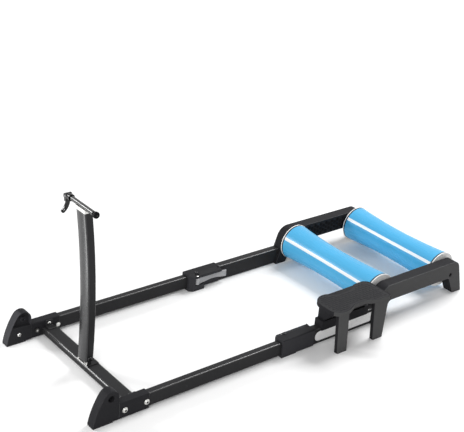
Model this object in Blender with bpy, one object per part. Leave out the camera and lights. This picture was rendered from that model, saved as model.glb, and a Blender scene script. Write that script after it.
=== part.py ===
"""Bike rollers with a folding fork stand and a hook-on step.

Metres, +Z up. X runs from the front feet back to the rear roller, and the step is on the -Y side, which is
called near; the +Y side is far. Pieces are modelled in stand coordinates, with X = 0 just before the feet,
Y = 0 on the middle plane and Z = 0 on the floor. The empty "stand" then carries them all to the middle of
the object's box. Each moving group has an empty on its joint's axis.
"""

import math

import bmesh
import bpy
from mathutils import Matrix, Vector

GAP = 0.0003  # between faces that touch
RUNNING_GAP = 0.0003  # round a shaft, pin or sliding piece
NEAR, FAR = -1, 1
SIDES = {"near": NEAR, "far": FAR}

# Telescoping rails
TRACK_HALF = 0.219  # middle of each rail from the middle plane
OUTER_RAIL_WIDTH = 0.025
OUTER_RAIL_HEIGHT = 0.050
OUTER_RAIL_LENGTH = 0.332
OUTER_RAIL_LIFT = 0.0015  # above the floor
RAIL_WALL = 0.0016
RAIL_CORNER = 0.0022
RAIL_PLAY_WIDE = 0.0009  # between the inner rail and the outer rail's wall
RAIL_PLAY_HIGH = 0.0034
INNER_RAIL_FRONT_X = 0.026
RAIL_OVERLAP = 0.184  # of the inner rail behind the clamp's front
GLIDE_PLUG = 0.025
GLIDE_FLANGE = 0.006

# Rollers and their axles
ROLLER_SPACING = 0.278
ROLLER_LIFT = 0.0126  # above the floor
ROLLER_RADIUS = 0.058
ROLLER_WAIST_DEPTH = 0.009
ROLLER_END_GAP = 0.006  # from the arch
ROLLER_WALL = 0.003
ROLLER_STATIONS = 6
CAP_FLANGE = 0.003
CAP_SPIGOT = 0.015
CAP_WALL = 0.0025
CAP_RECESS = 0.0012
CAP_RIM = 0.007
BEARING_OUTER_RADIUS = 0.013
BEARING_BORE_RADIUS = 0.005
BEARING_WIDTH = 0.008
BEARING_DEPTH = 0.0045  # of its outer face below the roller's end
HUB_WALL = 0.0035
AXLE_SHOULDER_RADIUS = 0.0065
AXLE_END_MARGIN = 0.017  # of the axle's end below the arch's outer face
AXLE_SCREW_RADIUS = 0.003
AXLE_SCREW_HEAD_RADIUS = 0.0055
AXLE_SCREW_HEAD = 0.004
AXLE_SCREW_LENGTH = 0.020
AXLE_POCKET_RADIUS = 0.0062
AXLE_WEB = 0.005

# Side arches
ARCH_INNER_WALL = 0.0085  # inwards of the outer rail
ARCH_OUTER_WALL = 0.003
ARCH_ABOVE_AXLE = 0.0429
ARCH_BELOW_AXLE = 0.0106
ARCH_FRONT_REACH = 0.066  # from the front axle to the front foot
ARCH_REAR_REACH = 0.065
ARCH_FRONT_LEAN = 0.036
ARCH_REAR_LEAN = 0.034
ARCH_LEG = 0.040
ARCH_FRONT_RADIUS = 0.040
ARCH_REAR_RADIUS = 0.030
ARCH_GAP_LEAN = 0.030
ARCH_GAP_RADIUS = 0.012
ARCH_RIB_PITCH = 0.028
ARCH_RIB = 0.004
ARCH_POCKET_DEPTH = 0.022
RAIL_IN_ARCH = 0.032  # from the axle line forward to the rail's end

# Clamps on the front ends of the outer rails
CLAMP_FRONT_X = 0.615
CLAMP_BLOCK = 0.053
CLAMP_LENGTH = 0.119
CLAMP_WALL = 0.0035
CLAMP_ROOF_EDGE = 0.001  # inwards of the outer rail
CLAMP_LOBE = 0.007  # inwards of the lever's pin
CLAMP_SHOULDER_DROP = 0.006
CLAMP_STEP = 0.003
CLAMP_CORNER_LENGTH = 0.013  # cut off the front inner corner
CLAMP_CORNER_WIDTH = 0.010
CLAMP_RAIL_SEAT = 0.002  # between the outer rail's end and the block
LEVER_PIN_FROM_FRONT = 0.0285
LEVER_PIN_RADIUS = 0.003
LEVER_PIN_HEAD_RADIUS = 0.0055
LEVER_PIN_HEAD = 0.0035
LEVER_PIN_BOTTOM = 0.006
LEVER_PIN_SEAT = 0.0455
LEVER_CAM_RADIUS = 0.008
LEVER_LOW = 0.020
LEVER_HIGH = 0.041
LEVER_SLOT_MARGIN = 0.0015
LEVER_LENGTH = 0.111
LEVER_DIP_X = 0.068
LEVER_HALF_THICKNESS = 0.0020
LEVER_ROOT_INSET = 0.0020
LEVER_DIP = 0.0075
LEVER_TIP_INSET = 0.0025
PAD_SIZE = 0.018
PAD_THICKNESS = 0.0034

# Label plate on the near rail
LABEL_FROM_CLAMP = 0.006
LABEL_LENGTH = 0.225
LABEL_HEIGHT = 0.031
LABEL_THICKNESS = 0.0005

# Front feet and sleeves
FOOT_TIP_X = 0.0043
FOOT_REAR_X = 0.079
FOOT_FRONT_RADIUS = 0.219
FOOT_CENTRE_DROP = 0.038  # of the front curve's centre below the floor
FOOT_TOP_RADIUS = 0.023
FOOT_INNER_WALL = 0.004
FOOT_OUTER_WALL = 0.003
FOOT_PAD_HEIGHT = 0.004
FOOT_PAD_LENGTH = 0.058
FOOT_RIM = 0.005
FOOT_RECESS = 0.0012
FOOT_SOCKET_RADIUS = 0.0095
FOOT_SOCKET_DEPTH = 0.012
FOOT_SOCKET_Z = 0.071
FOOT_BOLT_X = 0.041
FOOT_BOLT_Z = 0.029
FOOT_BOLT_HEAD_RADIUS = 0.006
SLEEVE_MARGIN = 0.0080  # behind the rear bolt
SLEEVE_INNER_WALL = 0.0022
SLEEVE_OUTER_WALL = 0.0032
SLEEVE_BOTTOM_WALL = 0.0032
SLEEVE_TOP_WALL = 0.0025
SLEEVE_FRONT_BOLT = 0.018  # in front of the crossbar
SLEEVE_REAR_BOLT = 0.0075  # behind the crossbar
SLEEVE_BOLT_DROP = 0.0009  # below the rail's middle
BOLT_RADIUS = 0.004
BOLT_HEAD_RADIUS = 0.008
BOLT_HEAD = 0.0045
NUT_RADIUS = 0.007
NUT_HEIGHT = 0.006

# Crossbar
CROSSBAR_FROM_FOOT = 0.035
CROSSBAR_DEPTH = 0.040
CROSSBAR_LOW = 0.007
CROSSBAR_HEIGHT = 0.020
CROSSBAR_WALL = 0.0015
CROSSBAR_CORNER = 0.003
CORNER_PLATE = 0.0025
CORNER_WIDTH = 0.020
CORNER_LEG = 0.020
CORNER_BOLT_RISE = 0.0112  # above the bracket's underside
CORNER_BOLT_RADIUS = 0.0022
CORNER_BOLT_HEAD_RADIUS = 0.0050
CORNER_BOLT_HEAD = 0.0030

# Post and its hinge
POST_WIDTH = 0.045
POST_DEPTH = 0.025
POST_WALL = 0.0015
POST_CORNER = 0.004
POST_TOP_Z = 0.474
POST_BOW_RADIUS = 2.6
POST_BOW_Z = 0.175
POST_BOW_AHEAD = 0.007  # of the crossbar's middle
POST_STATIONS = 7
POST_FOOT_CLEARANCE = 0.0105  # above the hinge plate
HINGE_BACK = 0.001  # of the pivot behind the middle of the post's foot
HINGE_RISE = 0.0085  # of the pivot above the post's foot
HINGE_PLATE = 0.0025
HINGE_PLATE_HALF = 0.026
HINGE_EAR_FRONT = 0.009
HINGE_EAR_RADIUS = 0.0055
HINGE_BOLT_RADIUS = 0.0035
HINGE_BOLT_HEAD_RADIUS = 0.0065
HINGE_BOLT_HEAD = 0.004
HINGE_SLOT_RISE = 0.0075

# Fork tube and quick release
FORK_TUBE_AHEAD = 0.0032  # of the post's middle line at its top
FORK_TUBE_RISE = 0.0124  # above the post's top
FORK_TUBE_HALF = 0.050
FORK_TUBE_RADIUS = 0.0065
SADDLE_REACH = 0.0085
SADDLE_TOP = 0.0025  # of its front and rear lips below the tube's axis
SKEWER_RADIUS = 0.0025
FORK_SLOT = 0.0028  # room left for the fork ends
NUT_LENGTH = 0.013
NUT_NECK = 0.0035
NUT_NECK_RADIUS = 0.0068
NUT_GRIP_RADIUS = 0.0088
NUT_TIP_RADIUS = 0.0068
YOKE_RADIUS = 0.0095
YOKE_LENGTH = 0.0095
YOKE_TONGUE_HALF = 0.0030
CAM_RADIUS = 0.008
CAM_HALF = 0.009
CAM_PIN_RADIUS = 0.002
CAM_FROM_YOKE = 0.0087
CAM_BRIDGE = 0.006
HANDLE_RADIUS = 0.036
HANDLE_SWEEP = math.radians(51)
HANDLE_HALF_WIDTH = 0.0058
HANDLE_THICKNESS = 0.005

# Step that hooks over the near rail
STEP_TOP_Z = 0.138
STEP_PLATE = 0.005
STEP_SKIRT = 0.012
STEP_SKIRT_WALL = 0.003
STEP_FROM_CLAMP = 0.004
STEP_LENGTH = 0.218
STEP_LOBE_WIDTH = 0.103  # across each rounded end
STEP_WAIST_WIDTH = 0.071
STEP_WAIST_LENGTH = 0.044
STEP_WAIST_RUN = 0.036
STEP_WAIST_RADIUS = 0.030
STEP_END_RADII = {"front_near": 0.030, "rear_near": 0.008, "rear_far": 0.022, "front_far": 0.038}
STEP_REACH = 0.0735  # outwards of the outer rail
STEP_LEGS = {
    # edges behind the front of the plate: under the plate, then on the floor
    "front_leg": ((0.014, 0.0555), (0.027, 0.0665)),
    "rear_leg": ((0.156, 0.2150), (0.1695, 0.2105)),
}
STEP_LEG_DEPTH = 0.016
STEP_LEG_CORNER = 0.005
STEP_LEG_OUT = 0.003  # from the outer edge of the plate
SADDLE_INSET = 0.023
SADDLE_LENGTH = 0.184
SADDLE_BLOCK = 0.0195
SADDLE_LIP = 0.003
SADDLE_LIP_DROP = 0.009
SIDE_WALL = 0.026  # from the inner lip outwards, where it stands on the saddle
SIDE_WALL_TOP = 0.060  # the same under the plate
SIDE_WALL_SLOPE_Z = 0.103  # where its outer edge turns upright
SIDE_WALL_INSET = 0.010  # from each end of the saddle
WINDOW_FRONT = 0.045  # from the front of the saddle
WINDOW_LENGTH = 0.061

# What follows from the sizes above
RAIL_Z = OUTER_RAIL_LIFT + OUTER_RAIL_HEIGHT / 2
INNER_RAIL_WIDTH = OUTER_RAIL_WIDTH - 2 * (RAIL_WALL + RAIL_PLAY_WIDE)
INNER_RAIL_HEIGHT = OUTER_RAIL_HEIGHT - 2 * (RAIL_WALL + RAIL_PLAY_HIGH)
INNER_RAIL_TOP = RAIL_Z + INNER_RAIL_HEIGHT / 2
OUTER_RAIL_TOP = RAIL_Z + OUTER_RAIL_HEIGHT / 2
INNER_RAIL_REAR_X = CLAMP_FRONT_X + RAIL_OVERLAP
CLAMP_BLOCK_REAR_X = CLAMP_FRONT_X + CLAMP_BLOCK
CLAMP_REAR_X = CLAMP_FRONT_X + CLAMP_LENGTH
OUTER_RAIL_FRONT_X = CLAMP_BLOCK_REAR_X + CLAMP_RAIL_SEAT
OUTER_RAIL_REAR_X = OUTER_RAIL_FRONT_X + OUTER_RAIL_LENGTH
ROLLER_FRONT_X = OUTER_RAIL_REAR_X + RAIL_IN_ARCH
ROLLER_XS = {"front": ROLLER_FRONT_X, "rear": ROLLER_FRONT_X + ROLLER_SPACING}
ROLLER_Z = ROLLER_LIFT + ROLLER_RADIUS
ROLLER_WAIST_RADIUS = ROLLER_RADIUS - ROLLER_WAIST_DEPTH
ARCH_TOP = ROLLER_Z + ARCH_ABOVE_AXLE
ARCH_GAP_TOP = ROLLER_Z - ARCH_BELOW_AXLE
CLAMP_TOP = OUTER_RAIL_TOP + CLAMP_WALL
CLAMP_SHOULDER_Z = CLAMP_TOP - CLAMP_SHOULDER_DROP
LEVER_PIN_X = CLAMP_FRONT_X + LEVER_PIN_FROM_FRONT
INNER_RAIL_INNER_Y = TRACK_HALF - INNER_RAIL_WIDTH / 2
OUTER_RAIL_INNER_Y = TRACK_HALF - OUTER_RAIL_WIDTH / 2
OUTER_RAIL_OUTER_Y = TRACK_HALF + OUTER_RAIL_WIDTH / 2
LEVER_PIN_Y = INNER_RAIL_INNER_Y - RUNNING_GAP - PAD_THICKNESS - RUNNING_GAP - LEVER_CAM_RADIUS
SLEEVE_INNER_Y = INNER_RAIL_INNER_Y - GAP - SLEEVE_INNER_WALL
SLEEVE_OUTER_Y = TRACK_HALF + INNER_RAIL_WIDTH / 2 + GAP + SLEEVE_OUTER_WALL
SLEEVE_LOW = RAIL_Z - INNER_RAIL_HEIGHT / 2 - GAP - SLEEVE_BOTTOM_WALL
SLEEVE_HIGH = INNER_RAIL_TOP + GAP + SLEEVE_TOP_WALL
CROSSBAR_TOP = CROSSBAR_LOW + CROSSBAR_HEIGHT
CROSSBAR_FRONT_X = FOOT_REAR_X + CROSSBAR_FROM_FOOT
CROSSBAR_REAR_X = CROSSBAR_FRONT_X + CROSSBAR_DEPTH
CROSSBAR_X = CROSSBAR_FRONT_X + CROSSBAR_DEPTH / 2
SLEEVE_BOLT_XS = {"front": CROSSBAR_FRONT_X - SLEEVE_FRONT_BOLT, "rear": CROSSBAR_REAR_X + SLEEVE_REAR_BOLT}
SLEEVE_BOLT_Z = RAIL_Z - SLEEVE_BOLT_DROP
SLEEVE_REAR_X = SLEEVE_BOLT_XS["rear"] + SLEEVE_MARGIN
CORNER_BOLT_Z = CROSSBAR_TOP + GAP + CORNER_BOLT_RISE
POST_BOW_X = CROSSBAR_X - POST_BOW_AHEAD
CROSSBAR_HALF = SLEEVE_INNER_Y - GAP
HINGE_PLATE_TOP = CROSSBAR_TOP + GAP + HINGE_PLATE
POST_FOOT_Z = HINGE_PLATE_TOP + POST_FOOT_CLEARANCE
FOOT_TOP_X = FOOT_REAR_X - FOOT_TOP_RADIUS
ARCH_INNER_Y = OUTER_RAIL_INNER_Y - ARCH_INNER_WALL
ARCH_OUTER_Y = OUTER_RAIL_OUTER_Y + ARCH_OUTER_WALL
ROLLER_HALF = ARCH_INNER_Y - ROLLER_END_GAP
LABEL_FRONT_X = CLAMP_REAR_X + LABEL_FROM_CLAMP
STEP_FRONT_X = CLAMP_REAR_X + STEP_FROM_CLAMP
SADDLE_FRONT_X = STEP_FRONT_X + SADDLE_INSET
STEP_OUTER_Y = OUTER_RAIL_OUTER_Y + STEP_REACH
AXLE_HALF = ARCH_OUTER_Y - AXLE_END_MARGIN
YOKE_Y = FORK_TUBE_HALF + FORK_SLOT
CAM_Y = YOKE_Y + YOKE_LENGTH + CAM_FROM_YOKE
BOX_REAR_X = ROLLER_XS["rear"] + ARCH_REAR_REACH
BOX_FAR_Y = SLEEVE_OUTER_Y + GAP + BOLT_HEAD
BOX_MIDDLE = Vector(((FOOT_TIP_X + BOX_REAR_X) / 2, (BOX_FAR_Y - STEP_OUTER_Y) / 2, 0))


def post_x(z):
    """Middle line of the bowed post at a height."""
    rise = z - POST_BOW_Z
    return POST_BOW_X - POST_BOW_RADIUS + math.sqrt(POST_BOW_RADIUS**2 - rise**2)


HINGE_X = post_x(POST_FOOT_Z) + HINGE_BACK
HINGE_Z = POST_FOOT_Z + HINGE_RISE
FORK_TUBE_X = post_x(POST_TOP_Z) - FORK_TUBE_AHEAD
FORK_TUBE_Z = POST_TOP_Z + FORK_TUBE_RISE

MATERIALS = {
    # name: (red, green, blue), roughness, metallic; colours are linear
    "black_powder_coat": ((0.026, 0.026, 0.029), 0.45, 0.0),
    "dark_grey_plastic": ((0.045, 0.045, 0.048), 0.60, 0.0),
    "black_rubber": ((0.012, 0.012, 0.013), 0.85, 0.0),
    "zinc_plate": ((0.62, 0.63, 0.64), 0.30, 1.0),
    "grey_nylon": ((0.30, 0.30, 0.31), 0.50, 0.0),
    "blue_roller": ((0.06, 0.35, 0.72), 0.35, 0.0),
    "pale_grey_plastic": ((0.60, 0.62, 0.64), 0.50, 0.0),
    "white_label": ((0.85, 0.85, 0.85), 0.45, 0.0),
    "steel": ((0.45, 0.45, 0.46), 0.30, 1.0),
}

BODIES = {
    # empty: (place in stand coordinates, parent empty)
    "stand": (Vector(), None),
    "front_frame": (Vector((CROSSBAR_X, 0, RAIL_Z)), "stand"),
    "fork_post": (Vector((HINGE_X, 0, HINGE_Z)), "front_frame"),
    "skewer_handle": (Vector((FORK_TUBE_X, CAM_Y, FORK_TUBE_Z)), "fork_post"),
    "skewer_knob": (Vector((FORK_TUBE_X, -YOKE_Y, FORK_TUBE_Z)), "fork_post"),
    "front_roller": (Vector((ROLLER_XS["front"], 0, ROLLER_Z)), "stand"),
    "rear_roller": (Vector((ROLLER_XS["rear"], 0, ROLLER_Z)), "stand"),
    "near_lever": (Vector((LEVER_PIN_X, NEAR * LEVER_PIN_Y, LEVER_LOW)), "stand"),
    "far_lever": (Vector((LEVER_PIN_X, FAR * LEVER_PIN_Y, LEVER_LOW)), "stand"),
    "step_body": (Vector((STEP_FRONT_X + STEP_LENGTH / 2, -OUTER_RAIL_OUTER_Y, OUTER_RAIL_TOP)), "stand"),
}

BIG_ROUND = 30
MEDIUM_ROUND = 20
SMALL_ROUND = 12


def clear_scene():
    for obj in list(bpy.data.objects):
        bpy.data.objects.remove(obj, do_unlink=True)


def make_materials():
    for name, (colour, roughness, metallic) in MATERIALS.items():
        material = bpy.data.materials.new(name)
        material.use_nodes = True
        shader = material.node_tree.nodes["Principled BSDF"]
        shader.inputs["Base Color"].default_value = (*colour, 1)
        shader.inputs["Roughness"].default_value = roughness
        shader.inputs["Metallic"].default_value = metallic


def make_bodies():
    for name, (place, parent) in BODIES.items():
        empty = bpy.data.objects.new(name, None)
        empty.empty_display_size = 0.02
        bpy.context.scene.collection.objects.link(empty)
        if parent:
            empty.parent = bpy.data.objects[parent]
            empty.location = place - BODIES[parent][0]
        else:
            empty.location = place - BOX_MIDDLE


def add_piece(name, bm, material, body):
    """Closes the mesh and hangs it on its body's empty. The mesh is given in stand coordinates."""
    bmesh.ops.remove_doubles(bm, verts=bm.verts, dist=1e-6)
    bmesh.ops.recalc_face_normals(bm, faces=bm.faces)
    bmesh.ops.translate(bm, verts=bm.verts, vec=-BODIES[body][0])
    mesh = bpy.data.meshes.new(name)
    bm.to_mesh(mesh)
    bm.free()
    mesh.shade_smooth()
    mesh.set_sharp_from_angle(angle=math.radians(35))
    mesh.materials.append(bpy.data.materials[material])
    obj = bpy.data.objects.new(name, mesh)
    bpy.context.scene.collection.objects.link(obj)
    obj.parent = bpy.data.objects[body]
    return obj


def combine(piece, operation, bm, label, body):
    """Cuts a helper shape from the piece, or joins it on, with a live Boolean."""
    helper = add_piece(f"{piece.name}_{label}", bm, piece.data.materials[0].name, body)
    helper.hide_render = True
    helper.display_type = "WIRE"
    modifier = piece.modifiers.new(label, "BOOLEAN")
    modifier.operation = operation
    modifier.object = helper


def cut(piece, bm, label, body):
    combine(piece, "DIFFERENCE", bm, label, body)


def join(piece, bm, label, body):
    combine(piece, "UNION", bm, label, body)


def arc(centre, radius, start, end, steps):
    """Points of an arc from one angle to another, both ends included."""
    angles = (start + (end - start) * i / steps for i in range(steps + 1))
    return [(centre[0] + radius * math.cos(a), centre[1] + radius * math.sin(a)) for a in angles]


def rounded_outline(corners, steps=3):
    """Outline through corners (a, b, radius), each with its own round."""
    points = []
    for i, (a, b, radius) in enumerate(corners):
        here = Vector((a, b))
        if not radius:
            points.append((a, b))
            continue
        back = (Vector(corners[i - 1][:2]) - here).normalized()
        ahead = (Vector(corners[(i + 1) % len(corners)][:2]) - here).normalized()
        half = back.angle(ahead) / 2
        centre = here + (back + ahead).normalized() * radius / math.sin(half)
        first = here + back * radius / math.tan(half) - centre
        last = here + ahead * radius / math.tan(half) - centre
        turn = first.angle_signed(last)
        for k in range(steps + 1):
            spoke = first.copy()
            spoke.rotate(Matrix.Rotation(-turn * k / steps, 2))
            points.append(tuple(centre + spoke))
    return points


def rectangle(low_a, high_a, low_b, high_b, radius=0.0, steps=3):
    corners = [(low_a, low_b), (high_a, low_b), (high_a, high_b), (low_a, high_b)]
    return rounded_outline([(a, b, radius) for a, b in corners], steps)


def in_space(axis, a, b, along):
    """A point of an outline drawn across an axis: (y, z) across x, (x, z) across y, (x, y) across z."""
    return {"x": (along, a, b), "y": (a, along, b), "z": (a, b, along)}[axis]


def prism(bm, outline, axis, low, high):
    """Extrudes an outline drawn across an axis from one place on it to the other."""
    face = bm.faces.new([bm.verts.new(in_space(axis, a, b, low)) for a, b in outline])
    grown = bmesh.ops.extrude_face_region(bm, geom=[face], use_keep_orig=True)
    moved = [item for item in grown["geom"] if isinstance(item, bmesh.types.BMVert)]
    bmesh.ops.translate(bm, verts=moved, vec=in_space(axis, 0, 0, high - low))
    return bm


def box(bm, low, high):
    return prism(bm, rectangle(low[0], high[0], low[1], high[1]), "z", low[2], high[2])


def skin(bm, first, second):
    """Quads between two matching rings of vertices."""
    for i in range(len(first)):
        bm.faces.new((first[i - 1], first[i], second[i], second[i - 1]))


def pipe(bm, outer, inner):
    """Walls of a hollow section, through matching lists of outer and inner rings."""
    outer_rings = [[bm.verts.new(point) for point in ring] for ring in outer]
    inner_rings = [[bm.verts.new(point) for point in ring] for ring in inner]
    for rings in (outer_rings, inner_rings):
        for first, second in zip(rings, rings[1:]):
            skin(bm, first, second)
    for end in (0, -1):
        skin(bm, outer_rings[end], inner_rings[end])
    return bm


def straight_pipe(bm, outer, inner, axis, low, high):
    rings = [[[in_space(axis, a, b, along) for a, b in outline] for along in (low, high)] for outline in (outer, inner)]
    return pipe(bm, *rings)


def turned(bm, profile, axis, centre, steps, closed=False):
    """Spins a profile of (radius, place along the axis) round an axis through a centre."""
    verts = [bm.verts.new((radius, 0, along)) for radius, along in profile]
    pairs = list(zip(verts, verts[1:]))
    if closed:
        pairs.append((verts[-1], verts[0]))
    edges = [bm.edges.new(pair) for pair in pairs]
    bmesh.ops.spin(
        bm, geom=verts + edges, cent=(0, 0, 0), axis=(0, 0, 1), angle=math.tau, steps=steps, use_merge=True
    )
    bmesh.ops.remove_doubles(bm, verts=bm.verts, dist=1e-6)
    turn = {
        "x": Matrix.Rotation(math.pi / 2, 4, "Y"),
        "y": Matrix.Rotation(-math.pi / 2, 4, "X"),
        "z": Matrix.Identity(4),
    }[axis]
    bmesh.ops.transform(bm, matrix=Matrix.Translation(centre) @ turn, verts=bm.verts)
    return bm


def rod(bm, radius, axis, centre, low, high, steps):
    """A plain round rod; low and high are measured along the axis from the centre."""
    return turned(bm, [(0, low), (radius, low), (radius, high), (0, high)], axis, centre, steps)


def tube(bm, outer, bore, axis, centre, low, high, steps):
    profile = [(bore, low), (outer, low), (outer, high), (bore, high)]
    return turned(bm, profile, axis, centre, steps, closed=True)


def span(side, inner, outer):
    """Low and high y between two distances from the middle plane, on one side of it."""
    return tuple(sorted((side * inner, side * outer)))


def make_rails(name, side):
    y = side * TRACK_HALF
    sections = []
    for width, height in ((OUTER_RAIL_WIDTH, OUTER_RAIL_HEIGHT), (INNER_RAIL_WIDTH, INNER_RAIL_HEIGHT)):
        pair = []
        for inset, corner in ((0, RAIL_CORNER), (RAIL_WALL, RAIL_CORNER - RAIL_WALL)):
            half_w = width / 2 - inset
            half_h = height / 2 - inset
            pair.append(rectangle(y - half_w, y + half_w, RAIL_Z - half_h, RAIL_Z + half_h, corner, 2))
        sections.append(pair)
    bm = straight_pipe(bmesh.new(), *sections[0], "x", OUTER_RAIL_FRONT_X, OUTER_RAIL_REAR_X)
    add_piece(f"outer_rail_{name}", bm, "black_powder_coat", "stand")
    bm = straight_pipe(bmesh.new(), *sections[1], "x", INNER_RAIL_FRONT_X, INNER_RAIL_REAR_X)
    rail = add_piece(f"inner_rail_{name}", bm, "black_powder_coat", "front_frame")
    bm = bmesh.new()
    half_w = INNER_RAIL_WIDTH / 2 + RAIL_WALL
    for x in SLEEVE_BOLT_XS.values():
        hole = rod(bmesh.new(), BOLT_RADIUS + RUNNING_GAP, "y", (x, y, SLEEVE_BOLT_Z), -half_w, half_w, SMALL_ROUND)
        append(bm, hole)
    hole = rod(
        bmesh.new(), BOLT_RADIUS + RUNNING_GAP, "y", (FOOT_BOLT_X, y, FOOT_BOLT_Z), -half_w, half_w, SMALL_ROUND
    )
    append(bm, hole)
    cut(rail, bm, "bolt_holes", "front_frame")

    half_w = INNER_RAIL_WIDTH / 2 - RAIL_WALL - GAP
    half_h = INNER_RAIL_HEIGHT / 2 - RAIL_WALL - GAP
    flange_w = OUTER_RAIL_WIDTH / 2 - RAIL_WALL - RUNNING_GAP
    flange_h = OUTER_RAIL_HEIGHT / 2 - RAIL_WALL - RUNNING_GAP
    flange_x = INNER_RAIL_REAR_X + GAP
    bm = prism(
        bmesh.new(), rectangle(y - flange_w, y + flange_w, RAIL_Z - flange_h, RAIL_Z + flange_h),
        "x", flange_x, flange_x + GLIDE_FLANGE,
    )
    glide = add_piece(f"rail_glide_{name}", bm, "grey_nylon", "front_frame")
    plug = prism(
        bmesh.new(), rectangle(y - half_w, y + half_w, RAIL_Z - half_h, RAIL_Z + half_h),
        "x", INNER_RAIL_REAR_X - GLIDE_PLUG, flange_x + GLIDE_FLANGE / 2,
    )
    join(glide, plug, "plug", "front_frame")


def append(bm, other):
    """Adds another shape's mesh, and frees it."""
    mesh = bpy.data.meshes.new("helper")
    other.to_mesh(mesh)
    other.free()
    bm.from_mesh(mesh)
    bpy.data.meshes.remove(mesh)
    return bm


def make_arch(name, side):
    front_x = ROLLER_XS["front"] - ARCH_FRONT_REACH
    rear_x = ROLLER_XS["rear"] + ARCH_REAR_REACH
    outline = rounded_outline(
        [
            (front_x, 0, 0),
            (front_x + ARCH_FRONT_LEAN, ARCH_TOP, ARCH_FRONT_RADIUS),
            (rear_x - ARCH_REAR_LEAN, ARCH_TOP, ARCH_REAR_RADIUS),
            (rear_x, 0, 0),
            (rear_x - ARCH_LEG, 0, 0),
            (rear_x - ARCH_LEG - ARCH_GAP_LEAN, ARCH_GAP_TOP, ARCH_GAP_RADIUS),
            (front_x + ARCH_LEG + ARCH_GAP_LEAN, ARCH_GAP_TOP, ARCH_GAP_RADIUS),
            (front_x + ARCH_LEG, 0, 0),
        ],
        steps=6,
    )
    bm = prism(bmesh.new(), outline, "y", *span(side, ARCH_INNER_Y, ARCH_OUTER_Y))
    arch = add_piece(f"arch_bracket_{name}", bm, "dark_grey_plastic", "stand")

    half_w = OUTER_RAIL_WIDTH / 2 + GAP
    half_h = OUTER_RAIL_HEIGHT / 2 + GAP
    y = side * TRACK_HALF
    socket = prism(
        bmesh.new(), rectangle(y - half_w, y + half_w, RAIL_Z - half_h, RAIL_Z + half_h),
        "x", front_x - ARCH_LEG, OUTER_RAIL_REAR_X + GAP,
    )
    cut(arch, socket, "rail_socket", "stand")

    web_y = AXLE_HALF + GAP
    pocket_y = web_y + AXLE_WEB
    for place, x in ROLLER_XS.items():
        profile = [
            (0, ARCH_INNER_Y - AXLE_WEB),
            (BEARING_BORE_RADIUS, ARCH_INNER_Y - AXLE_WEB),
            (BEARING_BORE_RADIUS, web_y),
            (AXLE_SCREW_RADIUS + RUNNING_GAP, web_y),
            (AXLE_SCREW_RADIUS + RUNNING_GAP, pocket_y),
            (AXLE_POCKET_RADIUS, pocket_y),
            (AXLE_POCKET_RADIUS, ARCH_OUTER_Y + AXLE_WEB),
            (0, ARCH_OUTER_Y + AXLE_WEB),
        ]
        hole = turned(
            bmesh.new(), [(radius, side * along) for radius, along in profile], "y", (x, 0, ROLLER_Z), MEDIUM_ROUND
        )
        cut(arch, hole, f"{place}_axle_hole", "stand")

    first_x = ROLLER_XS["front"] + ARCH_RIB_PITCH / 2
    count = int((ROLLER_SPACING - ARCH_RIB_PITCH) / ARCH_RIB_PITCH)
    pockets = bmesh.new()
    for i in range(count):
        x = first_x + (ROLLER_SPACING - ARCH_RIB_PITCH) * i / count
        width = (ROLLER_SPACING - ARCH_RIB_PITCH) / count - ARCH_RIB
        low_y, high_y = span(side, ARCH_INNER_Y - ARCH_RIB, ARCH_INNER_Y + ARCH_POCKET_DEPTH)
        box(
            pockets,
            (x + ARCH_RIB / 2, low_y, ARCH_GAP_TOP + ARCH_RIB),
            (x + ARCH_RIB / 2 + width, high_y, ARCH_TOP - ARCH_RIB),
        )
    cut(arch, pockets, "rib_pockets", "stand")


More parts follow.
